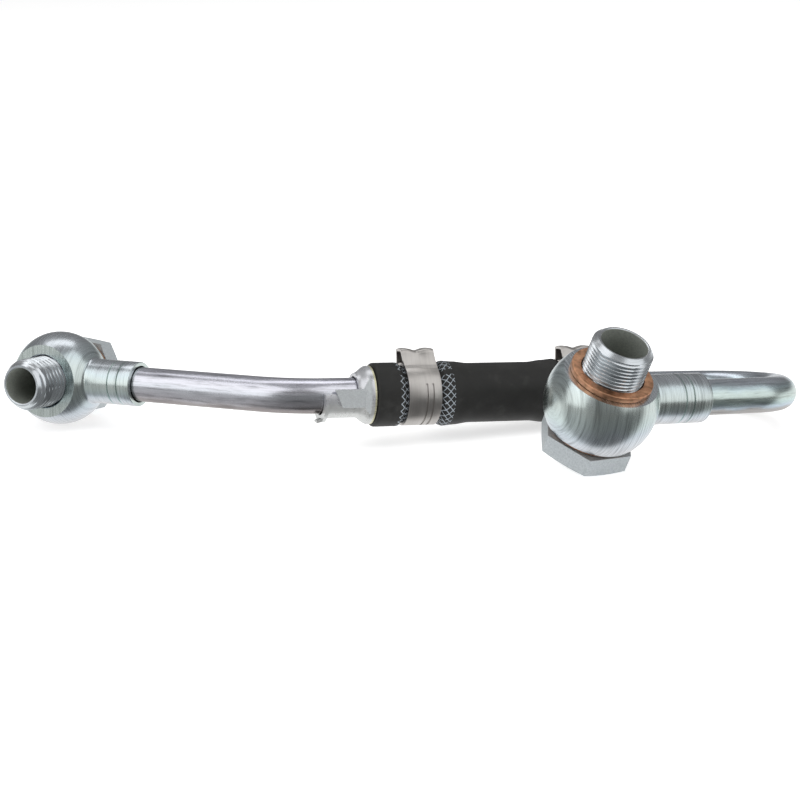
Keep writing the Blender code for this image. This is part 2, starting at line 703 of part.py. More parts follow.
def build():
    zinc = make_material("zinc_plated_steel", STEEL, 0.32, 1.0)
    tinted = make_material("tinted_zinc", TINTED, 0.30, 1.0)
    copper = make_material("copper", COPPER, 0.35, 1.0)
    rubber = make_material("black_rubber", RUBBER, 0.62, 0.0)
    stainless = make_material("clamp_steel", STAINLESS, 0.42, 1.0)

    bench = add_frame("bench", rest_matrix(ROUTE))
    small = add_frame("small_banjo_frame", ROUTE.small_frame(), bench)
    large = add_frame("large_banjo_frame", ROUTE.large_frame(), bench)

    build_eye("small_banjo_eye", small, tinted, SMALL_BALL, SMALL_WIDTH, SMALL_COLLAR_OD,
              SMALL_COLLAR_END, SMALL_GROOVES, SMALL_THREAD)
    build_bolt("small_banjo_bolt", small, zinc, SMALL_THREAD, SMALL_HEX, SMALL_HEAD, SMALL_BORE,
               SMALL_REACH, SMALL_CHAMFER, SMALL_WIDTH, SMALL_HEX_TURN)
    build_washer("small_copper_washer", small, copper, SMALL_THREAD,
                 -SMALL_WIDTH / 2.0 - GAP - WASHER_THICKNESS)

    build_tube("inlet_tube", ROUTE.inlet_points(), TUBE_INSERT, 1.0, bench, zinc)
    build_bracket(bench, zinc)
    build_hose(bench, rubber)
    build_clamp("left_ear_clamp", bench, CLAMP_INSET, stainless)
    build_clamp("right_ear_clamp", bench, HOSE_LENGTH - CLAMP_INSET - CLAMP_WIDTH, stainless)
    build_tube("return_tube", ROUTE.return_points(), HOSE_LENGTH - TUBE_INSERT, -1.0, bench, tinted)

    build_eye("large_banjo_eye", large, tinted, LARGE_BALL, LARGE_WIDTH, LARGE_COLLAR_OD,
              LARGE_COLLAR_END, LARGE_GROOVES, LARGE_THREAD)
    build_bolt("large_banjo_bolt", large, zinc, LARGE_THREAD, LARGE_HEX, LARGE_HEAD, LARGE_BORE,
               LARGE_REACH, LARGE_CHAMFER, LARGE_WIDTH, LARGE_HEX_TURN)
    build_washer("upper_copper_washer", large, copper, LARGE_THREAD, LARGE_WIDTH / 2.0 + GAP)
    build_washer("lower_copper_washer", large, copper, LARGE_THREAD,
                 -LARGE_WIDTH / 2.0 - GAP - WASHER_THICKNESS)

    centre_on_floor(bench)


build()
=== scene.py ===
"""Dresses the turbo coolant line: plated banjo fittings with cut threads, tubes, printed hose and clamps."""
import math

import bmesh
import bpy
from bpy.props import FloatProperty, FloatVectorProperty, PointerProperty
from mathutils import Euler, Matrix, Vector


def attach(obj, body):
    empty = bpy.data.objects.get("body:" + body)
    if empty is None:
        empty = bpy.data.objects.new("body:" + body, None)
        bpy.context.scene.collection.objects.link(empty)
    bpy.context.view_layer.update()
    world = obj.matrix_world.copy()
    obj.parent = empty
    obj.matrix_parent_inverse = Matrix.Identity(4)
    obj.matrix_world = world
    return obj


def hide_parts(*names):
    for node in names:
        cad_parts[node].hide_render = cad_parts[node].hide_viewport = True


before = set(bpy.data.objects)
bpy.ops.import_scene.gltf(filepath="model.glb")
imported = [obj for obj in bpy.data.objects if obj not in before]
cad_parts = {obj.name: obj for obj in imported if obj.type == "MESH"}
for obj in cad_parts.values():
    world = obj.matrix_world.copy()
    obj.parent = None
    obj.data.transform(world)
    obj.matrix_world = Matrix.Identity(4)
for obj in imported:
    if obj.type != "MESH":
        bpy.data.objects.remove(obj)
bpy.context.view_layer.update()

bl_info = {
    "name": "Turbo Coolant Line",
    "version": (1, 0, 0),
    "blender": (4, 5, 0),
    "location": "View3D > Sidebar > Coolant Line",
    "description": "Builds the banjo fittings, tubes, hose, clamps and stage of a turbo coolant line",
    "category": "Add Mesh",
}

BODY = "root"
MM = 0.001

# Where the line lies: the hose's near end, the line's turn, and its route on the bench
HOSE_START = Vector((-8.0492, -2.4588, 14.2259)) * MM
BENCH_TURN = (-12.3287, 4.5955, 17.1034)        # degrees
INLET_RUN = 72.8 * MM
INLET_LEAD = 21.2 * MM
INLET_BEND = 41.5
INLET_DROP = 2.4
INLET_BEND_RADIUS = 26.0 * MM
RETURN_LEAD = 22.4 * MM
U_BEND_RADIUS = 16.2 * MM
U_BEND = 171.4
ARM_RUN = 48.3 * MM
TUBE_INSERT = 24.0 * MM
SMALL_TILT = 3.4
LARGE_TILT = 34.7

GAP = 0.3 * MM
TRIM = 0.03 * MM                # keeps a fine round surface inside the coarser solid's box
TUBE_WALL = 1.0 * MM
BEAD_HEIGHT = 0.6 * MM
BEAD_WIDTH = 2.4 * MM
BEAD_SETBACK = 5.0 * MM
SEAT_DEPTH = 9.0 * MM
EYE_CLEARANCE = 0.3 * MM
EYE_RELIEF = 1.2 * MM
EYE_RELIEF_WIDTH = 8.0 * MM
NECK_FILLET = 1.2 * MM
GROOVE_WIDTH = 0.5 * MM
GROOVE_DEPTH = 0.35 * MM
EDGE = 0.25 * MM
WASHER_THICKNESS = 1.2 * MM
WASHER_LAND = 2.7 * MM
WASHER_SEAT = 0.03 * MM         # from the eye's face to the washer, as they are pressed together
BOLT_LIP = 0.35 * MM
BOLT_FLOOR = 1.0 * MM
WAIST_DEPTH = 0.8 * MM
WAIST_WIDTH = 7.0 * MM
CROSS_HOLE = 4.5 * MM
CROSS_HOLE_TURN = 41.0
THREAD_DEPTH = 0.62             # of the pitch
THREAD_STEEP = 1.35             # how fast a groove's sides fall
THREAD_CREST = 0.18             # what stays of the crest between two grooves
HEAD_CHAMFER = 0.5 * MM
HEAD_CIRCLE = 0.985             # circle left on the head's outer face, of its width across flats
HEAD_SLACK = EDGE * 0.05        # keeps the faces of the head and of its cutter apart

HOSE_EDGE = 0.8 * MM
HOSE_FLARE = 3.5 * MM
HOSE_EASE = 0.8 * MM
HOSE_SWELL = 0.25 * MM
HOSE_WALL = 3.9 * MM
CLAMP_INSET = 8.5 * MM
CLAMP_SQUEEZE = 1.2 * MM
CLAMP_BAND = 0.8 * MM
BAND_EDGE = 0.15 * MM
EAR_HEIGHT = 4.0 * MM
EAR_FOOT = 3.3 * MM
EAR_TOP = 2.3 * MM
EAR_CROWN = 1.1 * MM
EAR_ROOT = 0.5 * MM
EAR_FLANGE = 0.9 * MM
EAR_SHEET = 0.7 * MM
EAR_DIMPLE = 0.7 * MM
EAR_DIMPLE_SHARE = 0.42
EAR_PINCH = 0.40 * MM
EAR_LEAN = 0.6 * MM             # towards the hose's near end, at the crown
EAR_LIP = 0.25 * MM
LANE_WIDTH = 2.2 * MM
LANE_TONGUE = 1.1 * MM
LANE_DEPTH = 0.35 * MM
LANE_OFFSET = 1.2 * MM
LANE_START = 3.2 * MM

# The lattice print
HATCH_COLUMNS = 26              # diamonds round the hose
HATCH_PITCH = 1.8               # millimetres along the hose to a diamond
HATCH_LINE = 0.07               # half a line's width, of a diamond
HATCH_GAP_PLACE = -136.0        # degrees round the hose, from its underside, to the print's seam
HATCH_GAP_WIDTH = 6.0

BRACKET_LENGTH = 13.9 * MM
BRACKET_SHEET = 0.9 * MM
BLADE_RADIUS = 7.0 * MM
FLARE_LENGTH = 3.4 * MM
FLARE_RADIUS = 7.8 * MM
RIM_LENGTH = 0.9 * MM
TAB_SIZE = (9.6 * MM, 1.3 * MM, 4.8 * MM)
TAB_SETBACK = 1.6 * MM
TAB_LEAN = 8.0
TAB_DROP = 0.4 * MM
TAB_PROUD = 0.15 * MM           # what stands out further than this from the saddle is the tab
TAB_SLANT = 2.0 * MM            # its lower corner is cut back by this
SADDLE_TOP = 0.8 * MM
FOOT_SIZE = (1.6 * MM, 2.4 * MM, 0.9 * MM)
FOOT_LEAN = 18.0
FOOT_PLACE = (1.0 * MM, 0.6 * MM)
FOOT_ROOT = 0.2 * MM

# What the metal mirrors: in front of the line (right to left), under it, and up to the ceiling
FRONT_GLOW = (0.17, 0.50)
UNDER_GLOW = 1.0
ROOM_GLOW = (0.20, 0.34)

# Over which part of a direction each glow changes into the next
SIDE_FADE = (-0.2, -0.8)
UNDER_FADE = (-0.17, 0.05)
HORIZON_FADE = (-0.08, 0.08)

# Softboxes: name, place, the point they face, size, power
SOFTBOXES = (
    ("left_softbox", (-0.825, -0.53, 0.69), (0.0, 0.0, 0.02), (1.1, 1.5), 5.2),
    ("right_softbox", (0.84, -0.485, 0.705), (0.04, 0.0, 0.02), (1.2, 1.9), 5.6),
    ("back_softbox", (-0.12, 0.50, 1.09), (0.0, 0.0, 0.02), (1.0, 0.45), 1.7),
)

# Fineness of the round surfaces
ROUND = 96
BALL_ROWS = 44
TUBE_ROUND = 48
THREAD_ROWS = 9                 # rows to one turn of a thread
BEND_STEP = 3.0                 # degrees
EAR_FINE_ROWS = 25

# Where the large fitting differs from the small one, unless the user has set another size
LARGE_SIZES = {
    "ball": 29.2 * MM, "width": 15.8 * MM, "collar": 13.0 * MM, "collar_end": 30.0 * MM,
    "first_groove": 5.7 * MM, "second_groove": 8.2 * MM, "thread": 16.0 * MM, "pitch": 1.0 * MM,
    "hexagon": 22.0 * MM, "bore": 12.0 * MM, "reach": 18.5 * MM, "chamfer_across": 1.3 * MM,
    "chamfer_along": 1.3 * MM, "hex_turn": math.radians(4.5),
}


def length(name, description, default, least=0.0):
    return FloatProperty(name=name, description=description, default=default, min=least, unit="LENGTH")


def tone(name, description, default):
    return FloatVectorProperty(name=name, description=description, default=default, subtype="COLOR",
                               min=0.0, max=1.0)


class BanjoSizes(bpy.types.PropertyGroup):
    """Sizes of one banjo fitting."""
    ball: length("Ball", "Diameter of the eye's ball", 26.0 * MM)
    width: length("Width", "Eye across its two flat faces", 16.4 * MM)
    collar: length("Collar", "Diameter of the tube's collar", 12.2 * MM)
    collar_end: length("Collar End", "Ball's centre to the collar's end", 26.0 * MM)
    first_groove: length("First Groove", "From the collar's end", 3.9 * MM)
    second_groove: length("Second Groove", "From the collar's end", 6.8 * MM)
    thread: length("Thread", "Outer diameter of the thread", 14.0 * MM)
    pitch: length("Pitch", "Distance from ridge to ridge of the thread", 1.5 * MM, 0.0001)
    hexagon: length("Hexagon", "Head across flats", 19.0 * MM)
    head: length("Head", "Height of the head", 5.4 * MM)
    bore: length("Bore", "Diameter of the bolt's bore", 9.6 * MM)
    reach: length("Reach", "Ball's centre to the thread's end", 18.4 * MM)
    chamfer_across: length("Chamfer Across", "Chamfer at the thread's end", 1.45 * MM)
    chamfer_along: length("Chamfer Along", "Length of that chamfer", 2.2 * MM)
    hex_turn: FloatProperty(name="Head Turn", description="From the tube to a corner of the head",
                            default=math.radians(53.3), subtype="ANGLE", unit="ROTATION")


class LineSizes(bpy.types.PropertyGroup):
    """Sizes of the tubes, the hose, its print and the clamps."""
    tube: length("Tube", "Outer diameter of the steel tubes", 9.5 * MM)
    hose_length: length("Hose Length", "From end to end", 72.0 * MM)
    hose_bore: length("Hose Bore", "Bore where the hose is free", 8.3 * MM)
    clamp_width: length("Clamp Width", "Width of a clamp's band", 9.0 * MM)
    print_start: length("Print Start", "Hose's end to the lattice print", 6.2 * MM)
    print_end: length("Print End", "Hose's end to where the print stops", 21.2 * MM)


class LineColours(bpy.types.PropertyGroup):
    """Colours of the finishes."""
    zinc: tone("Zinc", "Bright plate on bolts and inlet tube", (0.70, 0.71, 0.74))
    tinted: tone("Tinted Zinc", "Plate on the eyes and the return tube", (0.68, 0.71, 0.71))
    bracket: tone("Bracket", "Dull plate on the stop bracket", (0.66, 0.67, 0.70))
    clamp: tone("Clamp", "Warm grey clamp strip", (0.56, 0.54, 0.52))
    copper: tone("Copper", "Dull copper of the washers", (0.78, 0.42, 0.25))
    rubber: tone("Rubber", "Black of the hose", (0.022, 0.022, 0.021))
    print_white: tone("Print", "Worn white ink of the hose's lattice print", (0.36, 0.40, 0.44))
    floor: tone("Floor", "Plain pale floor", (0.93, 0.93, 0.93))


class StageSettings(bpy.types.PropertyGroup):
    """Camera and lights."""
    camera_place: FloatVectorProperty(name="Camera Place", description="Where the camera stands",
                                      default=(0.001115, -0.431758, 0.149072), subtype="TRANSLATION",
                                      unit="LENGTH", precision=5)
    camera_turn: FloatVectorProperty(name="Camera Turn", description="How the camera is turned",
                                     default=(math.radians(72.3731), math.radians(0.693),
                                              math.radians(-0.0597)), subtype="EULER")
    lens: FloatProperty(name="Lens", description="Focal length in millimetres", default=76.2, min=1.0)
    floor_size: length("Floor Size", "Side of the floor", 8.0, 0.1)
    floor_glow: FloatProperty(name="Floor Glow", description="Light that the floor gives of itself",
                              default=0.62, min=0.0)


def sizes():
    return bpy.context.scene.coolant_line_sizes


def colours():
    return bpy.context.scene.coolant_line_colours


def small_banjo():
    return bpy.context.scene.coolant_small_banjo


def large_banjo():
    return bpy.context.scene.coolant_large_banjo


# The line's frames

def axes_matrix(x_axis, z_axis, origin):
    y_axis = z_axis.cross(x_axis)
    matrix = Matrix((x_axis, y_axis, z_axis)).transposed().to_4x4()
    matrix.translation = origin
    return matrix


def bench_frame():
    turn = Euler([math.radians(angle) for angle in BENCH_TURN]).to_matrix().to_4x4()
    return Matrix.Translation(HOSE_START) @ turn


def inlet_direction():
    turn = math.radians(INLET_BEND)
    drop = math.radians(INLET_DROP)
    return Vector((math.cos(turn) * math.cos(drop), -math.sin(turn) * math.cos(drop), -math.sin(drop)))


def small_frame():
    along = inlet_direction()
    up = Vector((0.0, 0.0, 1.0))
    level = along.cross(up).normalized()
    lean = math.radians(SMALL_TILT)
    bolt = level * math.cos(lean) - level.cross(along) * math.sin(lean)
    centre = Vector((-INLET_LEAD, 0.0, 0.0)) - along * INLET_RUN
    return bench_frame() @ axes_matrix(along, bolt, centre)


def u_centre():
    return Vector((sizes().hose_length + RETURN_LEAD, -U_BEND_RADIUS, 0.0))


def arm_direction():
    swept = math.radians(U_BEND)
    return Vector((-math.cos(swept), math.sin(swept), 0.0))


def large_centre():
    swept = math.radians(U_BEND)
    end = u_centre() + Vector((math.sin(swept), math.cos(swept), 0.0)) * U_BEND_RADIUS
    return end - arm_direction() * ARM_RUN


def large_frame():
    up = Vector((0.0, 0.0, 1.0))
    lean = math.radians(LARGE_TILT)
    bolt = up * math.cos(lean) + arm_direction().cross(up) * math.sin(lean)
    return bench_frame() @ axes_matrix(arm_direction(), bolt, large_centre())


# Mesh tools

def arc(centre, radius, start, stop, count):
    points = []
    for index in range(count + 1):
        angle = math.radians(start + (stop - start) * index / count)
        points.append((centre[0] + radius * math.cos(angle), centre[1] + radius * math.sin(angle)))
    return points


def object_from(name, bm, matrix, merge=0.000001):
    bmesh.ops.remove_doubles(bm, verts=bm.verts, dist=merge)
    bmesh.ops.recalc_face_normals(bm, faces=bm.faces)
    mesh = bpy.data.meshes.new(name)
    bm.to_mesh(mesh)
    bm.free()
    obj = bpy.data.objects.new(name, mesh)
    bpy.context.scene.collection.objects.link(obj)
    obj.matrix_world = matrix
    return obj


def turned(name, profile, matrix, closed=False, sides=ROUND, shape=None):
    """Surface turned about local Z from (radius, height) rows; shape may change a radius by angle."""
    bm = bmesh.new()
    layer = bm.loops.layers.uv.new("Unwrap")
    rings = []
    travel = [0.0]
    for first, second in zip(profile, profile[1:]):
        travel.append(travel[-1] + math.dist(first, second))
    for radius, height in profile:
        ring = []
        for side in range(sides):
            angle = math.tau * side / sides
            out = shape(radius, height, angle) if shape else radius
            ring.append(bm.verts.new((out * math.cos(angle), out * math.sin(angle), height)))
        rings.append(ring)
    count = len(rings) if closed else len(rings) - 1
    for row in range(count):
        upper, lower = rings[row], rings[(row + 1) % len(rings)]
        for side in range(sides):
            after = (side + 1) % sides
            face = bm.faces.new((upper[side], lower[side], lower[after], upper[after]))
            places = ((row, side), (row + 1, side), (row + 1, side + 1), (row, side + 1))
            for loop, (along, around) in zip(face.loops, places):
                loop[layer].uv = (travel[along % len(rings)], around / sides)
    return object_from(name, bm, matrix)


def ring_outline(inner, outer, low, top, edge):
    """Section of a flat ring with its two outer edges rounded."""
    return [(inner, top), *arc((outer - edge, top - edge), edge, 90.0, 0.0, 3),
            *arc((outer - edge, low + edge), edge, 0.0, -90.0, 3), (inner, low)]


def along_x(matrix):
    """Frame whose local Z lies along the given frame's X."""
    return matrix @ Matrix.Rotation(math.radians(90.0), 4, "Y")


def block(name, size, centre, matrix, turn=(0.0, 0.0, 0.0), bevel=0.0):
    bm = bmesh.new()
    bmesh.ops.create_cube(bm, size=1.0)
    bmesh.ops.scale(bm, vec=size, verts=bm.verts)
    if bevel:
        bmesh.ops.bevel(bm, geom=bm.edges[:], offset=bevel, segments=3, profile=0.5, affect="EDGES")
    local = Matrix.Translation(centre) @ Euler([math.radians(angle) for angle in turn]).to_matrix().to_4x4()
    return object_from(name, bm, matrix @ local)


def rod(name, radius, length, matrix, sides=ROUND):
    bm = bmesh.new()
    bmesh.ops.create_cone(bm, cap_ends=True, segments=sides, radius1=radius, radius2=radius, depth=length)
    return object_from(name, bm, matrix)


def pipe(name, route, radius, wall, matrix):
    """Open tube swept along (point, swell) pairs, with a bore and square ends."""
    bm = bmesh.new()
    layer = bm.loops.layers.uv.new("Unwrap")
    points = [point for point, _ in route]
    tangents = []
    for index in range(len(points)):
        before = points[max(index - 1, 0)]
        after = points[min(index + 1, len(points) - 1)]
        tangents.append((after - before).normalized())
    side_axis = tangents[0].orthogonal().normalized()
    travel = 0.0
    rings = {"outer": [], "inner": []}
    distances = []
    for index, (point, swell) in enumerate(route):
        tangent = tangents[index]
        side_axis = (side_axis - tangent * side_axis.dot(tangent)).normalized()
        other = tangent.cross(side_axis)
        if index:
            travel += (point - points[index - 1]).length
        distances.append(travel)
        for kind, out in (("outer", radius + swell), ("inner", radius - wall)):
            ring = []
            for side in range(TUBE_ROUND):
                angle = math.tau * side / TUBE_ROUND
                offset = side_axis * math.cos(angle) + other * math.sin(angle)
                ring.append(bm.verts.new(point + offset * out))
            rings[kind].append(ring)
    last = len(route) - 1
    strips = [(rings["outer"][row], rings["outer"][row + 1], distances[row], distances[row + 1])
              for row in range(last)]
    strips += [(rings["inner"][row + 1], rings["inner"][row], distances[row + 1], distances[row])
               for row in range(last)]
    strips.append((rings["inner"][0], rings["outer"][0], distances[0], distances[0]))
    strips.append((rings["outer"][last], rings["inner"][last], distances[last], distances[last]))
    for upper, lower, start, stop in strips:
        for side in range(TUBE_ROUND):
            after = (side + 1) % TUBE_ROUND
            face = bm.faces.new((upper[side], lower[side], lower[after], upper[after]))
            places = ((start, side), (stop, side), (stop, side + 1), (start, side + 1))
            for loop, (along, around) in zip(face.loops, places):
                loop[layer].uv = (along, around / TUBE_ROUND)
    return object_from(name, bm, matrix)


def cut(obj, other, operation):
    modifier = obj.modifiers.new(other.name, "BOOLEAN")
    modifier.operation = operation
    modifier.solver = "EXACT"
    modifier.object = other


def settle(obj, cutters=()):
    """Make the modifiers part of the mesh and remove the cutters."""
    bpy.context.view_layer.update()
    depsgraph = bpy.context.evaluated_depsgraph_get()
    mesh = bpy.data.meshes.new_from_object(obj.evaluated_get(depsgraph))
    obj.modifiers.clear()
    obj.data = mesh
    for cutter in cutters:
        bpy.data.objects.remove(cutter, do_unlink=True)
    return obj


def finish_piece(obj, node, material, angle=30.0):
    """Put the mesh where the CAD has it, shade it and let it stand for its node."""
    obj.data.transform(obj.matrix_world)
    obj.matrix_world = Matrix.Identity(4)
    obj.data.shade_smooth()
    obj.data.set_sharp_from_angle(angle=math.radians(angle))
    obj.data.materials.clear()
    obj.data.materials.append(material)
    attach(obj, BODY)
    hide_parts(node)
    return obj


# Finishes

TINT_DRIFT = 0.5                # how far the clouds of the plate shift its tints

# Passivation tints and painted shade from a surface's underside to its upper side: the low stops darken the
# underside
TEAL_TINTS_AND_SHADE = [(0.05, (0.62, 0.56, 0.60)), (0.20, (0.83, 0.87, 1.0)), (0.30, (0.72, 0.85, 1.0)),
              (0.42, (0.80, 1.0, 0.98)), (0.54, (0.87, 1.0, 0.93)), (0.68, (0.87, 1.0, 0.96)),
              (0.82, (0.76, 0.93, 1.0)), (0.95, (0.84, 0.88, 1.0))]
LILAC_TINTS_AND_SHADE = [(0.04, (0.50, 0.43, 0.40)), (0.18, (0.88, 0.78, 0.76)), (0.38, (0.97, 0.95, 0.98)),
               (0.62, (0.95, 0.97, 1.0)), (0.78, (0.97, 0.96, 1.0)), (0.95, (0.94, 0.93, 1.0))]
# Painted shade, brownish and dark, on the drawn tubes' underside
UNDER_SHADE = [(0.08, (0.34, 0.29, 0.27)), (0.21, (0.46, 0.42, 0.41))]
PLAIN_TINTS_AND_SHADE = [(0.10, (0.90, 0.96, 0.95)), (0.50, (0.93, 0.99, 1.0)), (0.90, (0.97, 1.0, 1.0))]

# Grains and clouds from dark to pale, and the two plain tones of the bracket
HEAD_GRAIN = [(0.3, (0.42, 0.46, 0.48)), (0.7, (0.58, 0.62, 0.64))]
# Painted shade: the bore's tones are darker than the head's
BORE_GRAIN_AND_SHADE = [(0.3, (0.26, 0.28, 0.26)), (0.7, (0.36, 0.38, 0.34))]
TAB_GRAIN = [(0.3, (0.40, 0.42, 0.43)), (0.7, (0.52, 0.55, 0.56))]
CLAMP_CLOUDS = [(0.4, (0.48, 0.46, 0.44)), (0.6, (0.58, 0.55, 0.52))]
GREEN_TRACE = (0.66, 0.68, 0.56, 1.0)
CREAM_RIM = (0.62, 0.60, 0.42, 1.0)

# How the brush marks are drawn out along and across each kind of surface
TURNED_BRUSH = (1900.0, 80.0, 80.0)
BOLT_BRUSH = (40.0, 40.0, 500.0)
DRAWN_BRUSH = (90.0, 26.0, 1.0)
STRIP_BRUSH = (2600.0, 90.0, 90.0)


class Nodes:
    """Short way to write the node tree of a material or a sky, with places in the piece's own frame."""

    def __init__(self, owner, framed=None):
        owner.use_nodes = True
        self.owner = owner
        self.framed = framed or Matrix.Identity(4)
        self.tree = owner.node_tree
        self.shader = self.tree.nodes.get("Principled BSDF") or self.tree.nodes["Background"]

    def add(self, kind, links=None, **settings):
        node = self.tree.nodes.new(kind)
        for key, value in settings.items():
            setattr(node, key, value)
        for socket, source in (links or {}).items():
            self.feed(node.inputs[socket], source)
        return node

    def feed(self, socket, source):
        if isinstance(source, bpy.types.NodeSocket):
            self.tree.links.new(source, socket)
        else:
            socket.default_value = source

    def local(self):
        """Place in the piece's own frame."""
        coords = self.add("ShaderNodeTexCoord")
        return self.add("ShaderNodeMapping", {"Vector": coords.outputs["Object"],
                                              "Location": self.framed.translation,
                                              "Rotation": self.framed.to_euler()},
                        vector_type="TEXTURE").outputs["Vector"]

    def place(self, scale=(1.0, 1.0, 1.0), uv=False):
        """Local coordinates, or the unwrap, drawn out by a scale for each axis."""
        source = self.add("ShaderNodeTexCoord").outputs["UV"] if uv else self.local()
        return self.add("ShaderNodeMapping", {"Vector": source, "Scale": scale}).outputs["Vector"]

    def noise(self, place, scale, detail=3.0, roughness=0.55):
        return self.add("ShaderNodeTexNoise", {"Vector": place, "Scale": scale, "Detail": detail,
                                               "Roughness": roughness}).outputs["Fac"]

    def ramp(self, source, stops):
        node = self.add("ShaderNodeValToRGB", {"Fac": source})
        elements = node.color_ramp.elements
        while len(elements) < len(stops):
            elements.new(0.5)
        for element, (position, colour) in zip(elements, stops):
            element.position = position
            element.color = (*colour, 1.0)
        return node.outputs["Color"]

    def mix(self, factor, first, second, blend="MIX"):
        node = self.add("ShaderNodeMix", data_type="RGBA", blend_type=blend)
        self.feed(node.inputs["Factor"], factor)
        self.feed(node.inputs[6], first)
        self.feed(node.inputs[7], second)
        return node.outputs[2]

    def maths(self, operation, first, second=0.0, third=0.0):
        node = self.add("ShaderNodeMath", operation=operation)
        for socket, value in zip(node.inputs, (first, second, third)):
            self.feed(socket, value)
        return node.outputs["Value"]

    def span(self, source, low, high, floor, ceiling):
        return self.add("ShaderNodeMapRange", {"Value": source, "From Min": low, "From Max": high,
                                               "To Min": floor, "To Max": ceiling}).outputs["Result"]

    def relief(self, height, strength, distance):
        bump = self.add("ShaderNodeBump", {"Height": height, "Strength": strength, "Distance": distance})
        self.feed(self.shader.inputs["Normal"], bump.outputs["Normal"])


def shades(colour, spread):
    return tuple(min(1.0, channel * spread) for channel in colour)


def new_finish(name, framed=None):
    return Nodes(bpy.data.materials.new(name), framed)


def tint_and_shade_by_side(nodes, clouds, stops):
    """Passivation tint and painted shade, which change from a surface's underside (0) to its upper side (1).
    """
    normal = nodes.add("ShaderNodeTexCoord").outputs["Normal"]
    upward = nodes.add("ShaderNodeSeparateXYZ", {"Vector": normal}).outputs["Z"]
    drifted = nodes.maths("MULTIPLY_ADD", clouds, TINT_DRIFT, upward)
    return nodes.ramp(nodes.span(drifted, TINT_DRIFT / 2.0 - 1.0, TINT_DRIFT / 2.0 + 1.0, 0.0, 1.0), stops)


def shaded_below(tints_and_shade):
    """The same tints with painted shade, brownish and dark, on the drawn tubes' underside."""
    return UNDER_SHADE + [stop for stop in tints_and_shade if stop[0] > 0.25]


def matt_areas(nodes, banjo):
    """Masks of a bolt's forged head and drilled bore; the bore's mask, where shade is painted, also takes in
    the middle of the head's outer face.
    """
    place = nodes.local()
    height = nodes.add("ShaderNodeSeparateXYZ", {"Vector": place}).outputs["Z"]
    flat = nodes.add("ShaderNodeVectorMath", {"Vector": place, 1: (1.0, 1.0, 0.0)}, operation="MULTIPLY")
    out = nodes.add("ShaderNodeVectorMath", {"Vector": flat.outputs["Vector"]}, operation="LENGTH")
    head = nodes.maths("LESS_THAN", height, -banjo.width / 2.0)
    bore = nodes.maths("LESS_THAN", out.outputs["Value"], banjo.bore / 2.0 + BOLT_LIP / 4.0)
    return head, bore


def plated(name, colour, brush, framed, tints_and_shade, tint=1.0, roughness=(0.18, 0.32), uv=False, contrast=0.22,
           matt_bolt=None):
    """Zinc plate: brush marks along one way, the passivation's tints with painted shade on the underside,
    and fine scratches.
    """
    nodes = new_finish(name, framed)
    streaks = nodes.noise(nodes.place(brush, uv), 1.0, 6.0, 0.65)
    clouds = nodes.noise(nodes.place(), 110.0, 3.0, 0.5)
    fine = nodes.noise(nodes.place(), 2400.0, 2.0, 0.6)
    plain = nodes.ramp(streaks, [(0.30, shades(colour, 1.0 - 2.0 * contrast)), (0.48, colour),
                                 (0.70, shades(colour, 1.0 + contrast))])
    # Painted shade: the side tints darken the surfaces that face downward
    base = nodes.mix(tint, plain, tint_and_shade_by_side(nodes, clouds, tints_and_shade), "MULTIPLY")
    worn = nodes.maths("MULTIPLY_ADD", streaks, 0.7, nodes.maths("MULTIPLY", clouds, 0.3))
    rough = nodes.span(worn, 0.3, 0.7, *roughness)
    nodes.shader.inputs["Metallic"].default_value = 1.0
    if matt_bolt:
        head, bore = matt_areas(nodes, matt_bolt)
        matt = nodes.maths("MAXIMUM", head, bore)
        base = nodes.mix(head, base, nodes.ramp(fine, HEAD_GRAIN))
        # Painted shade inside the bore, and on the middle of the head's outer face, which the bore's mask
        # also covers
        base = nodes.mix(bore, base, nodes.ramp(fine, BORE_GRAIN_AND_SHADE))
        rough = nodes.maths("MULTIPLY_ADD", matt, 0.26, rough)
        nodes.feed(nodes.shader.inputs["Metallic"], nodes.span(matt, 0.0, 1.0, 1.0, 0.35))
    nodes.feed(nodes.shader.inputs["Base Color"], base)
    nodes.feed(nodes.shader.inputs["Roughness"], rough)
    height = nodes.maths("MULTIPLY_ADD", streaks, 0.4, nodes.maths("MULTIPLY", fine, 0.25))
    nodes.relief(height, 0.22, 0.00005)
    return nodes.owner


def copper_finish():
    nodes = new_finish("dull_copper")
    colour = tuple(colours().copper)
    clouds = nodes.noise(nodes.place(), 420.0, 4.0, 0.6)
    base = nodes.ramp(clouds, [(0.35, shades(colour, 0.55)), (0.55, colour), (0.75, shades(colour, 1.5))])
    nodes.feed(nodes.shader.inputs["Base Color"], base)
    nodes.shader.inputs["Metallic"].default_value = 1.0
    nodes.feed(nodes.shader.inputs["Roughness"], nodes.span(clouds, 0.3, 0.7, 0.30, 0.48))
    nodes.relief(clouds, 0.2, 0.00008)
    return nodes.owner


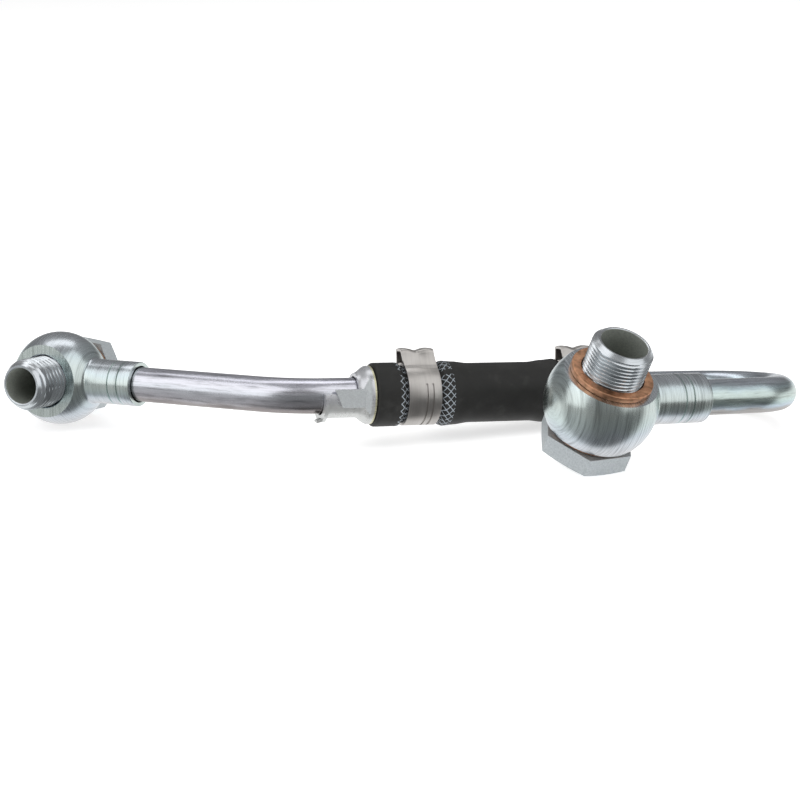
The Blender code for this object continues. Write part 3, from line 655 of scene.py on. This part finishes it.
def rubber_finish():
    """Matt black rubber with a worn white lattice printed round it under the left clamp."""
    nodes = new_finish("printed_rubber", along_x(bench_frame()))
    line = sizes()
    split = nodes.add("ShaderNodeSeparateXYZ", {"Vector": nodes.local()})
    # The hose is turned about its own Z, so Z is the distance from its near end
    along = nodes.maths("DIVIDE", split.outputs["Z"], MM)
    angle = nodes.maths("ARCTAN2", split.outputs["Y"], split.outputs["X"])
    around = nodes.maths("MULTIPLY", angle, HATCH_COLUMNS / math.tau)
    across = nodes.maths("DIVIDE", along, HATCH_PITCH)
    lines = []
    for operation in ("ADD", "SUBTRACT"):
        slant = nodes.maths(operation, across, around)
        offset = nodes.maths("ABSOLUTE", nodes.maths("SUBTRACT", nodes.maths("FRACT", slant), 0.5))
        lines.append(nodes.maths("GREATER_THAN", offset, 0.5 - HATCH_LINE))
    lattice = nodes.maths("MAXIMUM", *lines)
    start = nodes.maths("GREATER_THAN", along, line.print_start / MM)
    stop = nodes.maths("LESS_THAN", along, line.print_end / MM)
    gap = nodes.maths("ABSOLUTE", nodes.maths("SUBTRACT", angle, math.radians(HATCH_GAP_PLACE)))
    open_side = nodes.maths("GREATER_THAN", gap, math.radians(HATCH_GAP_WIDTH))
    worn = nodes.noise(nodes.place(), 900.0, 3.0, 0.6)
    kept = nodes.maths("GREATER_THAN", worn, 0.36)
    mask = lattice
    for share in (start, stop, open_side, kept):
        mask = nodes.maths("MULTIPLY", mask, share)
    colour = tuple(colours().rubber)
    bloom = nodes.noise(nodes.place(), 160.0, 4.0, 0.6)
    rubber = nodes.ramp(bloom, [(0.35, shades(colour, 0.8)), (0.55, colour), (0.78, shades(colour, 1.9))])
    white = (*colours().print_white, 1.0)
    nodes.feed(nodes.shader.inputs["Base Color"], nodes.mix(mask, rubber, white))
    grain = nodes.noise(nodes.place(), 3200.0, 3.0, 0.65)
    nodes.feed(nodes.shader.inputs["Roughness"], nodes.span(bloom, 0.3, 0.7, 0.46, 0.60))
    nodes.shader.inputs["Specular IOR Level"].default_value = 0.28
    nodes.relief(grain, 0.35, 0.00005)
    return nodes.owner


def clamp_finish():
    nodes = new_finish("clamp_strip", bench_frame())
    colour = tuple(colours().clamp)
    # Rolled strip: marks run round the band, so they change fastest along the hose
    marks = nodes.noise(nodes.place(STRIP_BRUSH), 1.0, 4.0, 0.6)
    clouds = nodes.noise(nodes.place(), 260.0, 3.0, 0.5)
    base = nodes.ramp(marks, [(0.3, shades(colour, 0.90)), (0.5, colour), (0.75, shades(colour, 1.08))])
    base = nodes.mix(0.25, base, nodes.ramp(clouds, CLAMP_CLOUDS))
    nodes.feed(nodes.shader.inputs["Base Color"], base)
    nodes.shader.inputs["Metallic"].default_value = 1.0
    nodes.feed(nodes.shader.inputs["Roughness"], nodes.span(clouds, 0.3, 0.7, 0.28, 0.44))
    nodes.relief(marks, 0.2, 0.00004)
    return nodes.owner


def bracket_finish():
    """Zinc plate with a matt tab, a cream rim and a trace of yellowish green low down."""
    nodes = new_finish("dull_plate", along_x(bench_frame()))
    colour = tuple(colours().bracket)
    split = nodes.add("ShaderNodeSeparateXYZ", {"Vector": nodes.local()})
    clouds = nodes.noise(nodes.place(), 420.0, 4.0, 0.6)
    grain = nodes.noise(nodes.place(), 2600.0, 3.0, 0.6)
    # The bracket is turned about its own Z, with its underside towards +X and its front towards -Y
    drifted = nodes.maths("MULTIPLY_ADD", clouds, 0.004, split.outputs["X"])
    lower = nodes.span(drifted, 0.003, 0.005, 0.0, 0.25)
    plain = nodes.ramp(clouds, [(0.35, shades(colour, 0.86)), (0.6, colour), (0.8, shades(colour, 1.1))])
    base = nodes.mix(lower, plain, GREEN_TRACE)
    outer = sizes().tube / 2.0 + GAP + BRACKET_SHEET
    front = nodes.maths("LESS_THAN", split.outputs["Y"], -outer - TAB_PROUD)
    middle = -TAB_SETBACK - TAB_SIZE[0] / 2.0
    away = nodes.maths("ABSOLUTE", nodes.maths("SUBTRACT", split.outputs["Z"], middle))
    tab = nodes.maths("MULTIPLY", front, nodes.maths("LESS_THAN", away, TAB_SIZE[0] / 2.0))
    base = nodes.mix(tab, base, nodes.ramp(grain, TAB_GRAIN))
    rim = nodes.maths("GREATER_THAN", split.outputs["Z"], -GAP - RIM_LENGTH / 2.0)
    base = nodes.mix(rim, base, CREAM_RIM)
    nodes.feed(nodes.shader.inputs["Base Color"], base)
    nodes.feed(nodes.shader.inputs["Metallic"], nodes.span(tab, 0.0, 1.0, 0.68, 0.3))
    rough = nodes.maths("MULTIPLY_ADD", tab, 0.25, nodes.span(clouds, 0.3, 0.7, 0.22, 0.36))
    nodes.feed(nodes.shader.inputs["Roughness"], rough)
    nodes.relief(nodes.maths("MULTIPLY_ADD", grain, 0.3, clouds), 0.25, 0.0001)
    return nodes.owner


# Banjo fittings

def eye_profile(banjo):
    """Tube's seat, collar with two grooves, neck and ball, turned about the tube's axis."""
    tube = sizes().tube
    seat = tube / 2.0 + GAP
    passage = tube / 2.0 - TUBE_WALL
    shoulder = banjo.collar_end - SEAT_DEPTH - GAP
    collar = banjo.collar / 2.0
    radius = banjo.ball / 2.0 - TRIM
    points = [(0.0, 0.0), (passage, 0.0), (passage, shoulder), (seat, shoulder), (seat, banjo.collar_end)]
    points += arc((collar - EDGE, banjo.collar_end - EDGE), EDGE, 90.0, 0.0, 3)
    for groove in (banjo.first_groove, banjo.second_groove):
        middle = banjo.collar_end - groove
        floor = collar - GROOVE_DEPTH
        points += [(collar, middle + GROOVE_WIDTH / 2.0), (floor, middle + GROOVE_WIDTH / 5.0),
                   (floor, middle - GROOVE_WIDTH / 5.0), (collar, middle - GROOVE_WIDTH / 2.0)]
    centre = (collar + NECK_FILLET, math.sqrt((radius + NECK_FILLET) ** 2 - (collar + NECK_FILLET) ** 2))
    meeting = math.degrees(math.atan2(centre[1], centre[0]))
    points += arc(centre, NECK_FILLET, 180.0, 180.0 + meeting, 10)
    points += arc((0.0, 0.0), radius, meeting, -90.0, BALL_ROWS)[1:-1]
    points.append((0.0, -radius))
    return points


def make_eye(node, banjo, matrix, material):
    eye = turned(node + "_fine", eye_profile(banjo), along_x(matrix))
    slab = block("slab", (4.0 * banjo.collar_end, 2.0 * banjo.ball, banjo.width), (0.0, 0.0, 0.0), matrix)
    bore = banjo.thread / 2.0 + EYE_CLEARANCE
    half = EYE_RELIEF_WIDTH / 2.0
    top = banjo.width
    edge = banjo.width / 2.0
    channel = [(0.0, top), (bore + EDGE, top), (bore + EDGE, edge), (bore, edge - EDGE),
               (bore, half + EYE_RELIEF), (bore + EYE_RELIEF, half),
               (bore + EYE_RELIEF, -half), (bore, -half - EYE_RELIEF), (bore, EDGE - edge),
               (bore + EDGE, -edge), (bore + EDGE, -top), (0.0, -top)]
    cutter = turned("cross_bore", channel, matrix)
    cut(eye, slab, "INTERSECT")
    cut(eye, cutter, "DIFFERENCE")
    settle(eye, (slab, cutter))
    return finish_piece(eye, node, material)


def thread_shape(banjo):
    """Radius of a cut thread by height and angle, fading out at its chamfer and its root."""
    crest = banjo.thread / 2.0 - TRIM
    depth = THREAD_DEPTH * banjo.pitch
    start = WAIST_WIDTH / 2.0 + WAIST_DEPTH

    def shape(radius, height, angle):
        if height < start or radius < crest - banjo.chamfer_across - TRIM:
            return radius
        turns = height / banjo.pitch - angle / math.tau
        wave = 1.0 - abs(2.0 * (turns - math.floor(turns)) - 1.0)
        groove = min(max(wave * THREAD_STEEP - THREAD_CREST, 0.0), 1.0)
        return min(radius, crest - depth * groove)

    return shape


def thread_rows(banjo):
    """Rows down the thread's outer side, from the chamfer to the waist."""
    crest = banjo.thread / 2.0 - TRIM
    root = WAIST_WIDTH / 2.0 + WAIST_DEPTH
    count = math.ceil((banjo.reach - root) / banjo.pitch * THREAD_ROWS)
    rows = []
    for index in range(count + 1):
        height = banjo.reach + (root - banjo.reach) * index / count
        into = (banjo.reach - height) / banjo.chamfer_along
        rows.append((crest - banjo.chamfer_across * max(0.0, 1.0 - into), height))
    return rows


def bolt_profile(banjo, face):
    """Bore, lip, thread, waist and shank as turned, ending inside the head."""
    inner = banjo.bore / 2.0
    shank = banjo.thread / 2.0 - TRIM
    half = WAIST_WIDTH / 2.0
    floor = -face + BOLT_FLOOR
    rows = [(0.0, floor - inner / 2.0), (inner, floor), (inner, banjo.reach - BOLT_LIP)]
    rows += arc((inner + BOLT_LIP, banjo.reach - BOLT_LIP), BOLT_LIP, 180.0, 90.0, 4)[1:]
    rows += thread_rows(banjo)
    rows += [(shank - WAIST_DEPTH, half), (shank - WAIST_DEPTH, -half), (shank, -half - WAIST_DEPTH),
             (shank, -face + GAP), (shank, -face - banjo.head / 2.0), (0.0, -face - banjo.head / 2.0)]
    return rows


def make_head(banjo, face, matrix):
    """Hexagon with its corners turned off a little at the outer face."""
    corner = banjo.hexagon / math.sqrt(3.0) - TRIM
    bar_frame = matrix @ Matrix.Rotation(banjo.hex_turn + math.radians(90.0), 4, "Z")
    low = -face - banjo.head
    centre = bar_frame @ Matrix.Translation((0.0, 0.0, (low - face) / 2.0))
    head = rod("head", corner, banjo.head, centre, sides=6)
    circle = banjo.hexagon / 2.0 * HEAD_CIRCLE
    blank = [(0.0, -face + EDGE), (corner + EDGE, -face + EDGE), (corner + EDGE, low + HEAD_CHAMFER),
             (circle, low - HEAD_SLACK), (0.0, low - HEAD_SLACK)]
    cone = turned("head_blank", blank, matrix)
    cut(head, cone, "INTERSECT")
    settle(head, (cone,))
    return head


def make_bolt(node, banjo, matrix, material):
    face = banjo.width / 2.0 + WASHER_THICKNESS + 2.0 * GAP
    bolt = turned(node + "_fine", bolt_profile(banjo, face), matrix, shape=thread_shape(banjo))
    head = make_head(banjo, face, matrix)
    cut(bolt, head, "UNION")
    holes = []
    for index in range(2):
        turn = Euler((math.radians(90.0), 0.0, math.radians(CROSS_HOLE_TURN + 90.0 * index)))
        hole = rod(f"cross_hole_{index}", CROSS_HOLE / 2.0, 2.0 * banjo.thread,
                   matrix @ turn.to_matrix().to_4x4(), sides=32)
        cut(bolt, hole, "DIFFERENCE")
        holes.append(hole)
    settle(bolt, (head, *holes))
    return finish_piece(bolt, node, material, 28.0)


def make_washer(node, banjo, side, matrix, material):
    """Copper ring on the eye's upper (1) or lower (-1) face."""
    inner = banjo.thread / 2.0 + GAP
    outer = banjo.thread / 2.0 + WASHER_LAND - TRIM
    near = banjo.width / 2.0 + WASHER_SEAT
    far = banjo.width / 2.0 + GAP + WASHER_THICKNESS
    low, top = sorted((side * near, side * far))
    outline = ring_outline(inner, outer, low, top, EDGE)
    washer = turned(node + "_fine", outline, matrix, closed=True)
    return finish_piece(washer, node, material, 50.0)


# Tubes and hose

def swell_at(distance, end):
    """Height of the bead by distance from the tube's end inside the hose."""
    share = abs(distance - end) / (BEAD_WIDTH / 2.0)
    return BEAD_HEIGHT * math.sqrt(1.0 - share * share) if share < 1.0 else 0.0


def insert_points(tip, inward):
    """Stretch inside the hose with the bead, from the tip outwards."""
    stations = [0.0] + [BEAD_SETBACK + BEAD_WIDTH / 2.0 * step / 5.0 for step in range(-5, 6)]
    return [(tip - inward * distance, swell_at(distance, BEAD_SETBACK)) for distance in stations]


def inlet_route():
    along = inlet_direction()
    leaving = Vector((1.0, 0.0, 0.0))
    corner = Vector((-INLET_LEAD, 0.0, 0.0))
    centre = corner - along * INLET_RUN
    turn = along.angle(leaving)
    first = corner - along * INLET_BEND_RADIUS * math.tan(turn / 2.0)
    inward = (leaving - along * along.dot(leaving)).normalized()
    middle = first + inward * INLET_BEND_RADIUS
    count = math.ceil(math.degrees(turn) / BEND_STEP)
    route = [(centre + along * (small_banjo().collar_end - SEAT_DEPTH), 0.0)]
    for index in range(count + 1):
        angle = turn * index / count
        offset = along * math.sin(angle) - inward * math.cos(angle)
        route.append((middle + offset * INLET_BEND_RADIUS, 0.0))
    return route + insert_points(Vector((TUBE_INSERT, 0.0, 0.0)), leaving)[::-1]


def return_route():
    leaving = Vector((-1.0, 0.0, 0.0))
    route = insert_points(Vector((sizes().hose_length - TUBE_INSERT, 0.0, 0.0)), leaving)
    count = math.ceil(U_BEND / BEND_STEP)
    for index in range(count + 1):
        angle = math.radians(U_BEND) * index / count
        offset = Vector((math.sin(angle), math.cos(angle), 0.0))
        route.append((u_centre() + offset * U_BEND_RADIUS, 0.0))
    route.append((large_centre() + arm_direction() * (large_banjo().collar_end - SEAT_DEPTH), 0.0))
    return route


def hose_radii():
    line = sizes()
    free_bore = line.hose_bore / 2.0
    free_outer = free_bore + HOSE_WALL
    tube_bore = line.tube / 2.0 + GAP
    return free_bore, free_outer, tube_bore, math.sqrt(free_outer ** 2 - free_bore ** 2 + tube_bore ** 2)


def eased(start, stop, count):
    """Points from one (radius, distance) to another on a soft S curve."""
    points = []
    for index in range(1, count + 1):
        share = index / count
        soft = share * share * (3.0 - 2.0 * share)
        points.append((start[0] + (stop[0] - start[0]) * soft, start[1] + (stop[1] - start[1]) * share))
    return points


def hose_half_outer():
    """Outline from the hose's end to its middle, pinched under the clamp."""
    _, free, _, full = hose_radii()
    full -= TRIM / 2.0
    pinched = full - CLAMP_SQUEEZE
    start = CLAMP_INSET
    stop = CLAMP_INSET + sizes().clamp_width
    bead = max(TUBE_INSERT - BEAD_SETBACK, stop + 3.0 * HOSE_EASE)
    points = arc((full - HOSE_EDGE, HOSE_EDGE), HOSE_EDGE, -90.0, 0.0, 6)
    corners = [(full, start - 2.0 * HOSE_EASE), (pinched, start - HOSE_EASE / 2.0),
               (pinched, stop + HOSE_EASE / 2.0), (full, stop + 2.0 * HOSE_EASE),
               (full + HOSE_SWELL, bead), (full, TUBE_INSERT - HOSE_FLARE / 3.0),
               (free, TUBE_INSERT + HOSE_FLARE)]
    for corner in corners:
        points += eased(points[-1], corner, 6)
    return points


def make_hose(matrix, material):
    length = sizes().hose_length
    free_bore, _, tube_bore, _ = hose_radii()
    bead = TUBE_INSERT - BEAD_SETBACK
    half = BEAD_WIDTH / 2.0 + GAP
    bore = [(tube_bore, 0.0), (tube_bore, bead - half - BEAD_HEIGHT), (tube_bore + BEAD_HEIGHT, bead - half),
            (tube_bore + BEAD_HEIGHT, bead + half), (tube_bore, bead + half + BEAD_HEIGHT),
            (tube_bore, TUBE_INSERT + GAP), (free_bore, TUBE_INSERT + GAP + BEAD_HEIGHT)]
    outer = hose_half_outer()
    far_outer = [(radius, length - height) for radius, height in outer]
    far_bore = [(radius, length - height) for radius, height in bore]
    profile = far_outer + outer[::-1] + bore + far_bore[::-1]
    hose = turned("coolant_hose_fine", profile, along_x(matrix), closed=True)
    return finish_piece(hose, "coolant_hose", material, 45.0)


# Clamps and bracket

def ear_point(seat, share, across, rise):
    lifted = rise / EAR_HEIGHT
    mark = math.exp(-((share / EAR_DIMPLE_SHARE) ** 2))
    sunk = (EAR_DIMPLE * mark + EAR_LIP * abs(share) ** 6) * lifted
    narrowed = across * (1.0 - EAR_PINCH / EAR_TOP * mark * lifted)
    round_drop = seat - math.sqrt(seat ** 2 - across ** 2)
    along = share * sizes().clamp_width / 2.0 - EAR_LEAN * lifted
    return along, narrowed, seat + rise - sunk - round_drop * (1.0 - lifted)


def make_ear(matrix, seat):
    """Strip bent over like a staple, dimpled by the press, with a real sheet thickness."""
    crown = (EAR_TOP - EAR_CROWN, EAR_HEIGHT - EAR_CROWN)
    foot = eased((EAR_FOOT + EAR_FLANGE, 0.0), (EAR_FOOT, EAR_ROOT), 3)
    half = [(EAR_FOOT + EAR_FLANGE, 0.0), *foot, *arc(crown, EAR_CROWN, 0.0, 90.0, 8)]
    path = half + [(-across, rise) for across, rise in reversed(half)]
    bm = bmesh.new()
    grid = []
    for row in range(EAR_FINE_ROWS):
        share = row / (EAR_FINE_ROWS - 1) * 2.0 - 1.0
        grid.append([bm.verts.new(ear_point(seat, share, across, rise)) for across, rise in path])
    for near, far in zip(grid, grid[1:]):
        for column in range(len(path) - 1):
            bm.faces.new((near[column], far[column], far[column + 1], near[column + 1]))
    ear = object_from("ear", bm, matrix)
    sheet = ear.modifiers.new("Sheet", "SOLIDIFY")
    sheet.thickness = EAR_SHEET
    sheet.offset = 0.0
    return settle(ear)


def make_clamp(node, start, matrix, material):
    inner = hose_radii()[3] - CLAMP_SQUEEZE + GAP
    outer = inner + CLAMP_BAND - TRIM / 2.0
    half = sizes().clamp_width / 2.0
    local = matrix @ Matrix.Translation((start + half, 0.0, 0.0))
    turned_frame = along_x(local)
    outline = ring_outline(inner, outer, -half, half, BAND_EDGE)
    band = turned(node + "_fine", outline, turned_frame, closed=True)
    cutters = [make_ear(local, inner + CLAMP_BAND / 2.0)]
    cut(band, cutters[0], "UNION")
    groove = (LANE_WIDTH - LANE_TONGUE) / 2.0
    for index, side in enumerate((-1.0, 1.0)):
        middle = LANE_OFFSET + side * (LANE_TONGUE + groove) / 2.0
        ring = [(outer - LANE_DEPTH, middle + groove / 2.0), (outer + CLAMP_BAND, middle + groove / 2.0),
                (outer + CLAMP_BAND, middle - groove / 2.0), (outer - LANE_DEPTH, middle - groove / 2.0)]
        lane = turned(f"lane_{index}", ring, turned_frame, closed=True)
        guard = block(f"guard_{index}", (2.0 * half, 4.0 * outer, 2.0 * outer),
                      (0.0, 0.0, outer + LANE_START), local)
        cut(lane, guard, "DIFFERENCE")
        settle(lane, (guard,))
        cut(band, lane, "DIFFERENCE")
        cutters.append(lane)
    settle(band, cutters)
    return finish_piece(band, node, material)


def make_bracket(matrix, material):
    """Pressed bracket: blade with a hooked foot, saddle with a tab, flare and rim."""
    inner = sizes().tube / 2.0 + GAP
    outer = inner + BRACKET_SHEET
    rim = -GAP
    flare = rim - RIM_LENGTH
    neck = flare - FLARE_LENGTH
    blade = -BRACKET_LENGTH
    cone = eased((FLARE_RADIUS, flare), (outer, neck), 8)
    throat = eased((inner, neck), (FLARE_RADIUS - BRACKET_SHEET, flare), 8)
    profile = [(inner + FLARE_RADIUS - outer, rim), (FLARE_RADIUS, rim), (FLARE_RADIUS, flare), *cone,
               (outer, blade + BRACKET_SHEET), (BLADE_RADIUS, blade + BRACKET_SHEET),
               (BLADE_RADIUS, blade), (inner, blade), (inner, neck), *throat]
    bracket = turned("hose_stop_bracket_fine", profile, along_x(matrix), closed=True)
    opening = block("opening", (BRACKET_LENGTH, 4.0 * BLADE_RADIUS, 2.0 * BLADE_RADIUS),
                    (neck - BRACKET_LENGTH / 2.0, 0.0, BLADE_RADIUS + SADDLE_TOP), matrix)
    cut(bracket, opening, "DIFFERENCE")
    tab = block("tab", TAB_SIZE, (-TAB_SETBACK - TAB_SIZE[0] / 2.0, -outer, -TAB_DROP), matrix,
                (TAB_LEAN, 0.0, 0.0), bevel=0.25 * MM)
    for vertex in tab.data.vertices:
        if vertex.co.x < 0.0 and vertex.co.z < 0.0:
            vertex.co.x += TAB_SLANT
    cut(bracket, tab, "UNION")
    aside, above = FOOT_PLACE
    foot = block("foot", FOOT_SIZE, (FOOT_ROOT - BRACKET_LENGTH - FOOT_SIZE[0] / 2.0, -aside,
                                     above - BLADE_RADIUS), matrix, (0.0, -FOOT_LEAN, 0.0), bevel=0.2 * MM)
    cut(bracket, foot, "UNION")
    settle(bracket, (opening, tab, foot))
    return finish_piece(bracket, "hose_stop_bracket", material)


# Operators

class MESH_OT_coolant_small_banjo(bpy.types.Operator):
    """Small banjo fitting: eye, hollow bolt and the copper washer under its head"""
    bl_idname = "mesh.coolant_small_banjo"
    bl_label = "Small Banjo"

    def execute(self, context):
        banjo = small_banjo()
        matrix = small_frame()
        eye = plated("turned_plate_small", tuple(colours().tinted), TURNED_BRUSH, matrix, TEAL_TINTS_AND_SHADE,
                     tint=0.5, contrast=0.15)
        bolt = plated("threaded_plate_small", tuple(colours().zinc), BOLT_BRUSH, matrix, PLAIN_TINTS_AND_SHADE,
                      matt_bolt=banjo)
        make_eye("small_banjo_eye", banjo, matrix, eye)
        make_bolt("small_banjo_bolt", banjo, matrix, bolt)
        make_washer("small_copper_washer", banjo, -1.0, matrix, copper_finish())
        return {"FINISHED"}


class MESH_OT_coolant_large_banjo(bpy.types.Operator):
    """Large banjo fitting: eye, hollow bolt and a copper washer on each side"""
    bl_idname = "mesh.coolant_large_banjo"
    bl_label = "Large Banjo"

    def execute(self, context):
        banjo = large_banjo()
        for name, size in LARGE_SIZES.items():
            if not banjo.is_property_set(name):
                setattr(banjo, name, size)
        matrix = large_frame()
        eye = plated("turned_plate_large", tuple(colours().tinted), TURNED_BRUSH, matrix, TEAL_TINTS_AND_SHADE,
                     tint=0.5, contrast=0.22)
        bolt = plated("threaded_plate_large", tuple(colours().zinc), BOLT_BRUSH, matrix, PLAIN_TINTS_AND_SHADE,
                      matt_bolt=banjo)
        copper = copper_finish()
        make_eye("large_banjo_eye", banjo, matrix, eye)
        make_bolt("large_banjo_bolt", banjo, matrix, bolt)
        make_washer("upper_copper_washer", banjo, 1.0, matrix, copper)
        make_washer("lower_copper_washer", banjo, -1.0, matrix, copper)
        return {"FINISHED"}


class MESH_OT_coolant_tubes(bpy.types.Operator):
    """The two bent steel tubes, each with a bead inside the hose"""
    bl_idname = "mesh.coolant_tubes"
    bl_label = "Tubes"

    def execute(self, context):
        matrix = bench_frame()
        radius = sizes().tube / 2.0 - TRIM
        inlet = pipe("inlet_tube_fine", inlet_route(), radius, TUBE_WALL, matrix)
        back = pipe("return_tube_fine", return_route(), radius, TUBE_WALL, matrix)
        # The tubes' tints carry painted shade on their underside
        drawn = plated("drawn_plate", tuple(colours().zinc), DRAWN_BRUSH, matrix, shaded_below(LILAC_TINTS_AND_SHADE),
                       uv=True)
        tinted = plated("tinted_drawn_plate", tuple(colours().tinted), DRAWN_BRUSH, matrix,
                        shaded_below(TEAL_TINTS_AND_SHADE), tint=0.8, uv=True)
        finish_piece(inlet, "inlet_tube", drawn)
        finish_piece(back, "return_tube", tinted)
        return {"FINISHED"}


class MESH_OT_coolant_hose(bpy.types.Operator):
    """Rubber hose, swollen over the tubes and pinched under the clamps"""
    bl_idname = "mesh.coolant_hose"
    bl_label = "Hose"

    def execute(self, context):
        make_hose(bench_frame(), rubber_finish())
        return {"FINISHED"}


class MESH_OT_coolant_clamps(bpy.types.Operator):
    """The two ear clamps"""
    bl_idname = "mesh.coolant_clamps"
    bl_label = "Ear Clamps"

    def execute(self, context):
        line = sizes()
        material = clamp_finish()
        far = line.hose_length - CLAMP_INSET - line.clamp_width
        make_clamp("left_ear_clamp", CLAMP_INSET, bench_frame(), material)
        make_clamp("right_ear_clamp", far, bench_frame(), material)
        return {"FINISHED"}


class MESH_OT_coolant_bracket(bpy.types.Operator):
    """Stop bracket at the hose's left end"""
    bl_idname = "mesh.coolant_bracket"
    bl_label = "Stop Bracket"

    def execute(self, context):
        make_bracket(bench_frame(), bracket_finish())
        return {"FINISHED"}


def area_light(name, place, target, size, power):
    light = bpy.data.lights.new(name, "AREA")
    light.shape = "RECTANGLE"
    light.size, light.size_y = size
    light.energy = power
    obj = bpy.data.objects.new(name, light)
    bpy.context.scene.collection.objects.link(obj)
    obj.location = place
    obj.rotation_euler = (Vector(target) - Vector(place)).to_track_quat("-Z", "Y").to_euler()
    return obj


class SCENE_OT_coolant_stage(bpy.types.Operator):
    """Pale floor, soft lights and the camera"""
    bl_idname = "scene.coolant_stage"
    bl_label = "Stage"

    def execute(self, context):
        settings = context.scene.coolant_stage
        self.make_floor(settings)
        self.make_sky(context.scene)
        for softbox in SOFTBOXES:
            area_light(*softbox)
        fill = area_light("ceiling_light", (0.0, -0.2, 1.3), (0.0, 0.0, 0.0), (1.2, 1.2), 5.0)
        fill.visible_glossy = False
        camera = bpy.data.objects.new("camera", bpy.data.cameras.new("camera"))
        context.scene.collection.objects.link(camera)
        camera.location = settings.camera_place
        camera.rotation_euler = settings.camera_turn
        camera.data.lens = settings.lens
        camera.data.clip_start = 0.01
        context.scene.camera = camera
        context.scene.view_settings.view_transform = "Standard"
        return {"FINISHED"}

    def make_floor(self, settings):
        bm = bmesh.new()
        bmesh.ops.create_grid(bm, x_segments=1, y_segments=1, size=settings.floor_size / 2.0)
        floor = object_from("floor", bm, Matrix.Identity(4))
        nodes = new_finish("pale_floor")
        colour = tuple(colours().floor)
        grain = nodes.noise(nodes.place(), 30.0, 2.0, 0.5)
        base = nodes.ramp(grain, [(0.4, shades(colour, 0.99)), (0.6, colour)])
        nodes.feed(nodes.shader.inputs["Base Color"], base)
        nodes.shader.inputs["Roughness"].default_value = 0.9
        nodes.shader.inputs["Emission Color"].default_value = (1.0, 1.0, 1.0, 1.0)
        nodes.shader.inputs["Emission Strength"].default_value = settings.floor_glow
        floor.data.materials.append(nodes.owner)
        # The metal mirrors the room below the horizon in place of the floor
        floor.visible_glossy = False

    def make_sky(self, scene):
        """Dim room for the metal to mirror: white below the horizon, darker there in front, grey above."""
        world = bpy.data.worlds.new("studio")
        scene.world = world
        nodes = Nodes(world)
        place = nodes.add("ShaderNodeTexCoord").outputs["Generated"]
        split = nodes.add("ShaderNodeSeparateXYZ", {"Vector": place})
        front = nodes.span(split.outputs["X"], *SIDE_FADE, *FRONT_GLOW)
        under = nodes.span(split.outputs["Y"], *UNDER_FADE, front, UNDER_GLOW)
        room = nodes.span(split.outputs["Z"], 0.0, 1.0, *ROOM_GLOW)
        above = nodes.span(split.outputs["Z"], *HORIZON_FADE, 0.0, 1.0)
        glow = nodes.mix(above, under, room)
        seen = nodes.add("ShaderNodeLightPath").outputs["Is Camera Ray"]
        nodes.feed(nodes.shader.inputs["Color"], nodes.mix(seen, glow, (1.0, 1.0, 1.0, 1.0)))


class VIEW3D_PT_coolant_line(bpy.types.Panel):
    """Sidebar panel with the line's pieces"""
    bl_label = "Coolant Line"
    bl_idname = "VIEW3D_PT_coolant_line"
    bl_space_type = "VIEW_3D"
    bl_region_type = "UI"
    bl_category = "Coolant Line"

    def draw(self, context):
        layout = self.layout
        for operator in OPERATORS:
            layout.operator(operator.bl_idname)
        for group in (sizes(), colours(), small_banjo(), large_banjo(), context.scene.coolant_stage):
            box = layout.box()
            for name in group.bl_rna.properties.keys():
                if name not in ("rna_type", "name"):
                    box.prop(group, name)


OPERATORS = (
    MESH_OT_coolant_small_banjo,
    MESH_OT_coolant_large_banjo,
    MESH_OT_coolant_tubes,
    MESH_OT_coolant_hose,
    MESH_OT_coolant_clamps,
    MESH_OT_coolant_bracket,
    SCENE_OT_coolant_stage,
)
CLASSES = (BanjoSizes, LineSizes, LineColours, StageSettings, *OPERATORS, VIEW3D_PT_coolant_line)


def register():
    for cls in CLASSES:
        bpy.utils.register_class(cls)
    bpy.types.Scene.coolant_line_sizes = PointerProperty(type=LineSizes)
    bpy.types.Scene.coolant_line_colours = PointerProperty(type=LineColours)
    bpy.types.Scene.coolant_small_banjo = PointerProperty(type=BanjoSizes)
    bpy.types.Scene.coolant_large_banjo = PointerProperty(type=BanjoSizes)
    bpy.types.Scene.coolant_stage = PointerProperty(type=StageSettings)


def unregister():
    del bpy.types.Scene.coolant_stage
    del bpy.types.Scene.coolant_large_banjo
    del bpy.types.Scene.coolant_small_banjo
    del bpy.types.Scene.coolant_line_colours
    del bpy.types.Scene.coolant_line_sizes
    for cls in reversed(CLASSES):
        bpy.utils.unregister_class(cls)


def write_sizes():
    bpy.context.view_layer.update()


def main():
    register()
    bpy.ops.mesh.coolant_small_banjo()
    bpy.ops.mesh.coolant_large_banjo()
    bpy.ops.mesh.coolant_tubes()
    bpy.ops.mesh.coolant_hose()
    bpy.ops.mesh.coolant_clamps()
    bpy.ops.mesh.coolant_bracket()
    bpy.ops.scene.coolant_stage()
    write_sizes()


if __name__ == "__main__":
    main()
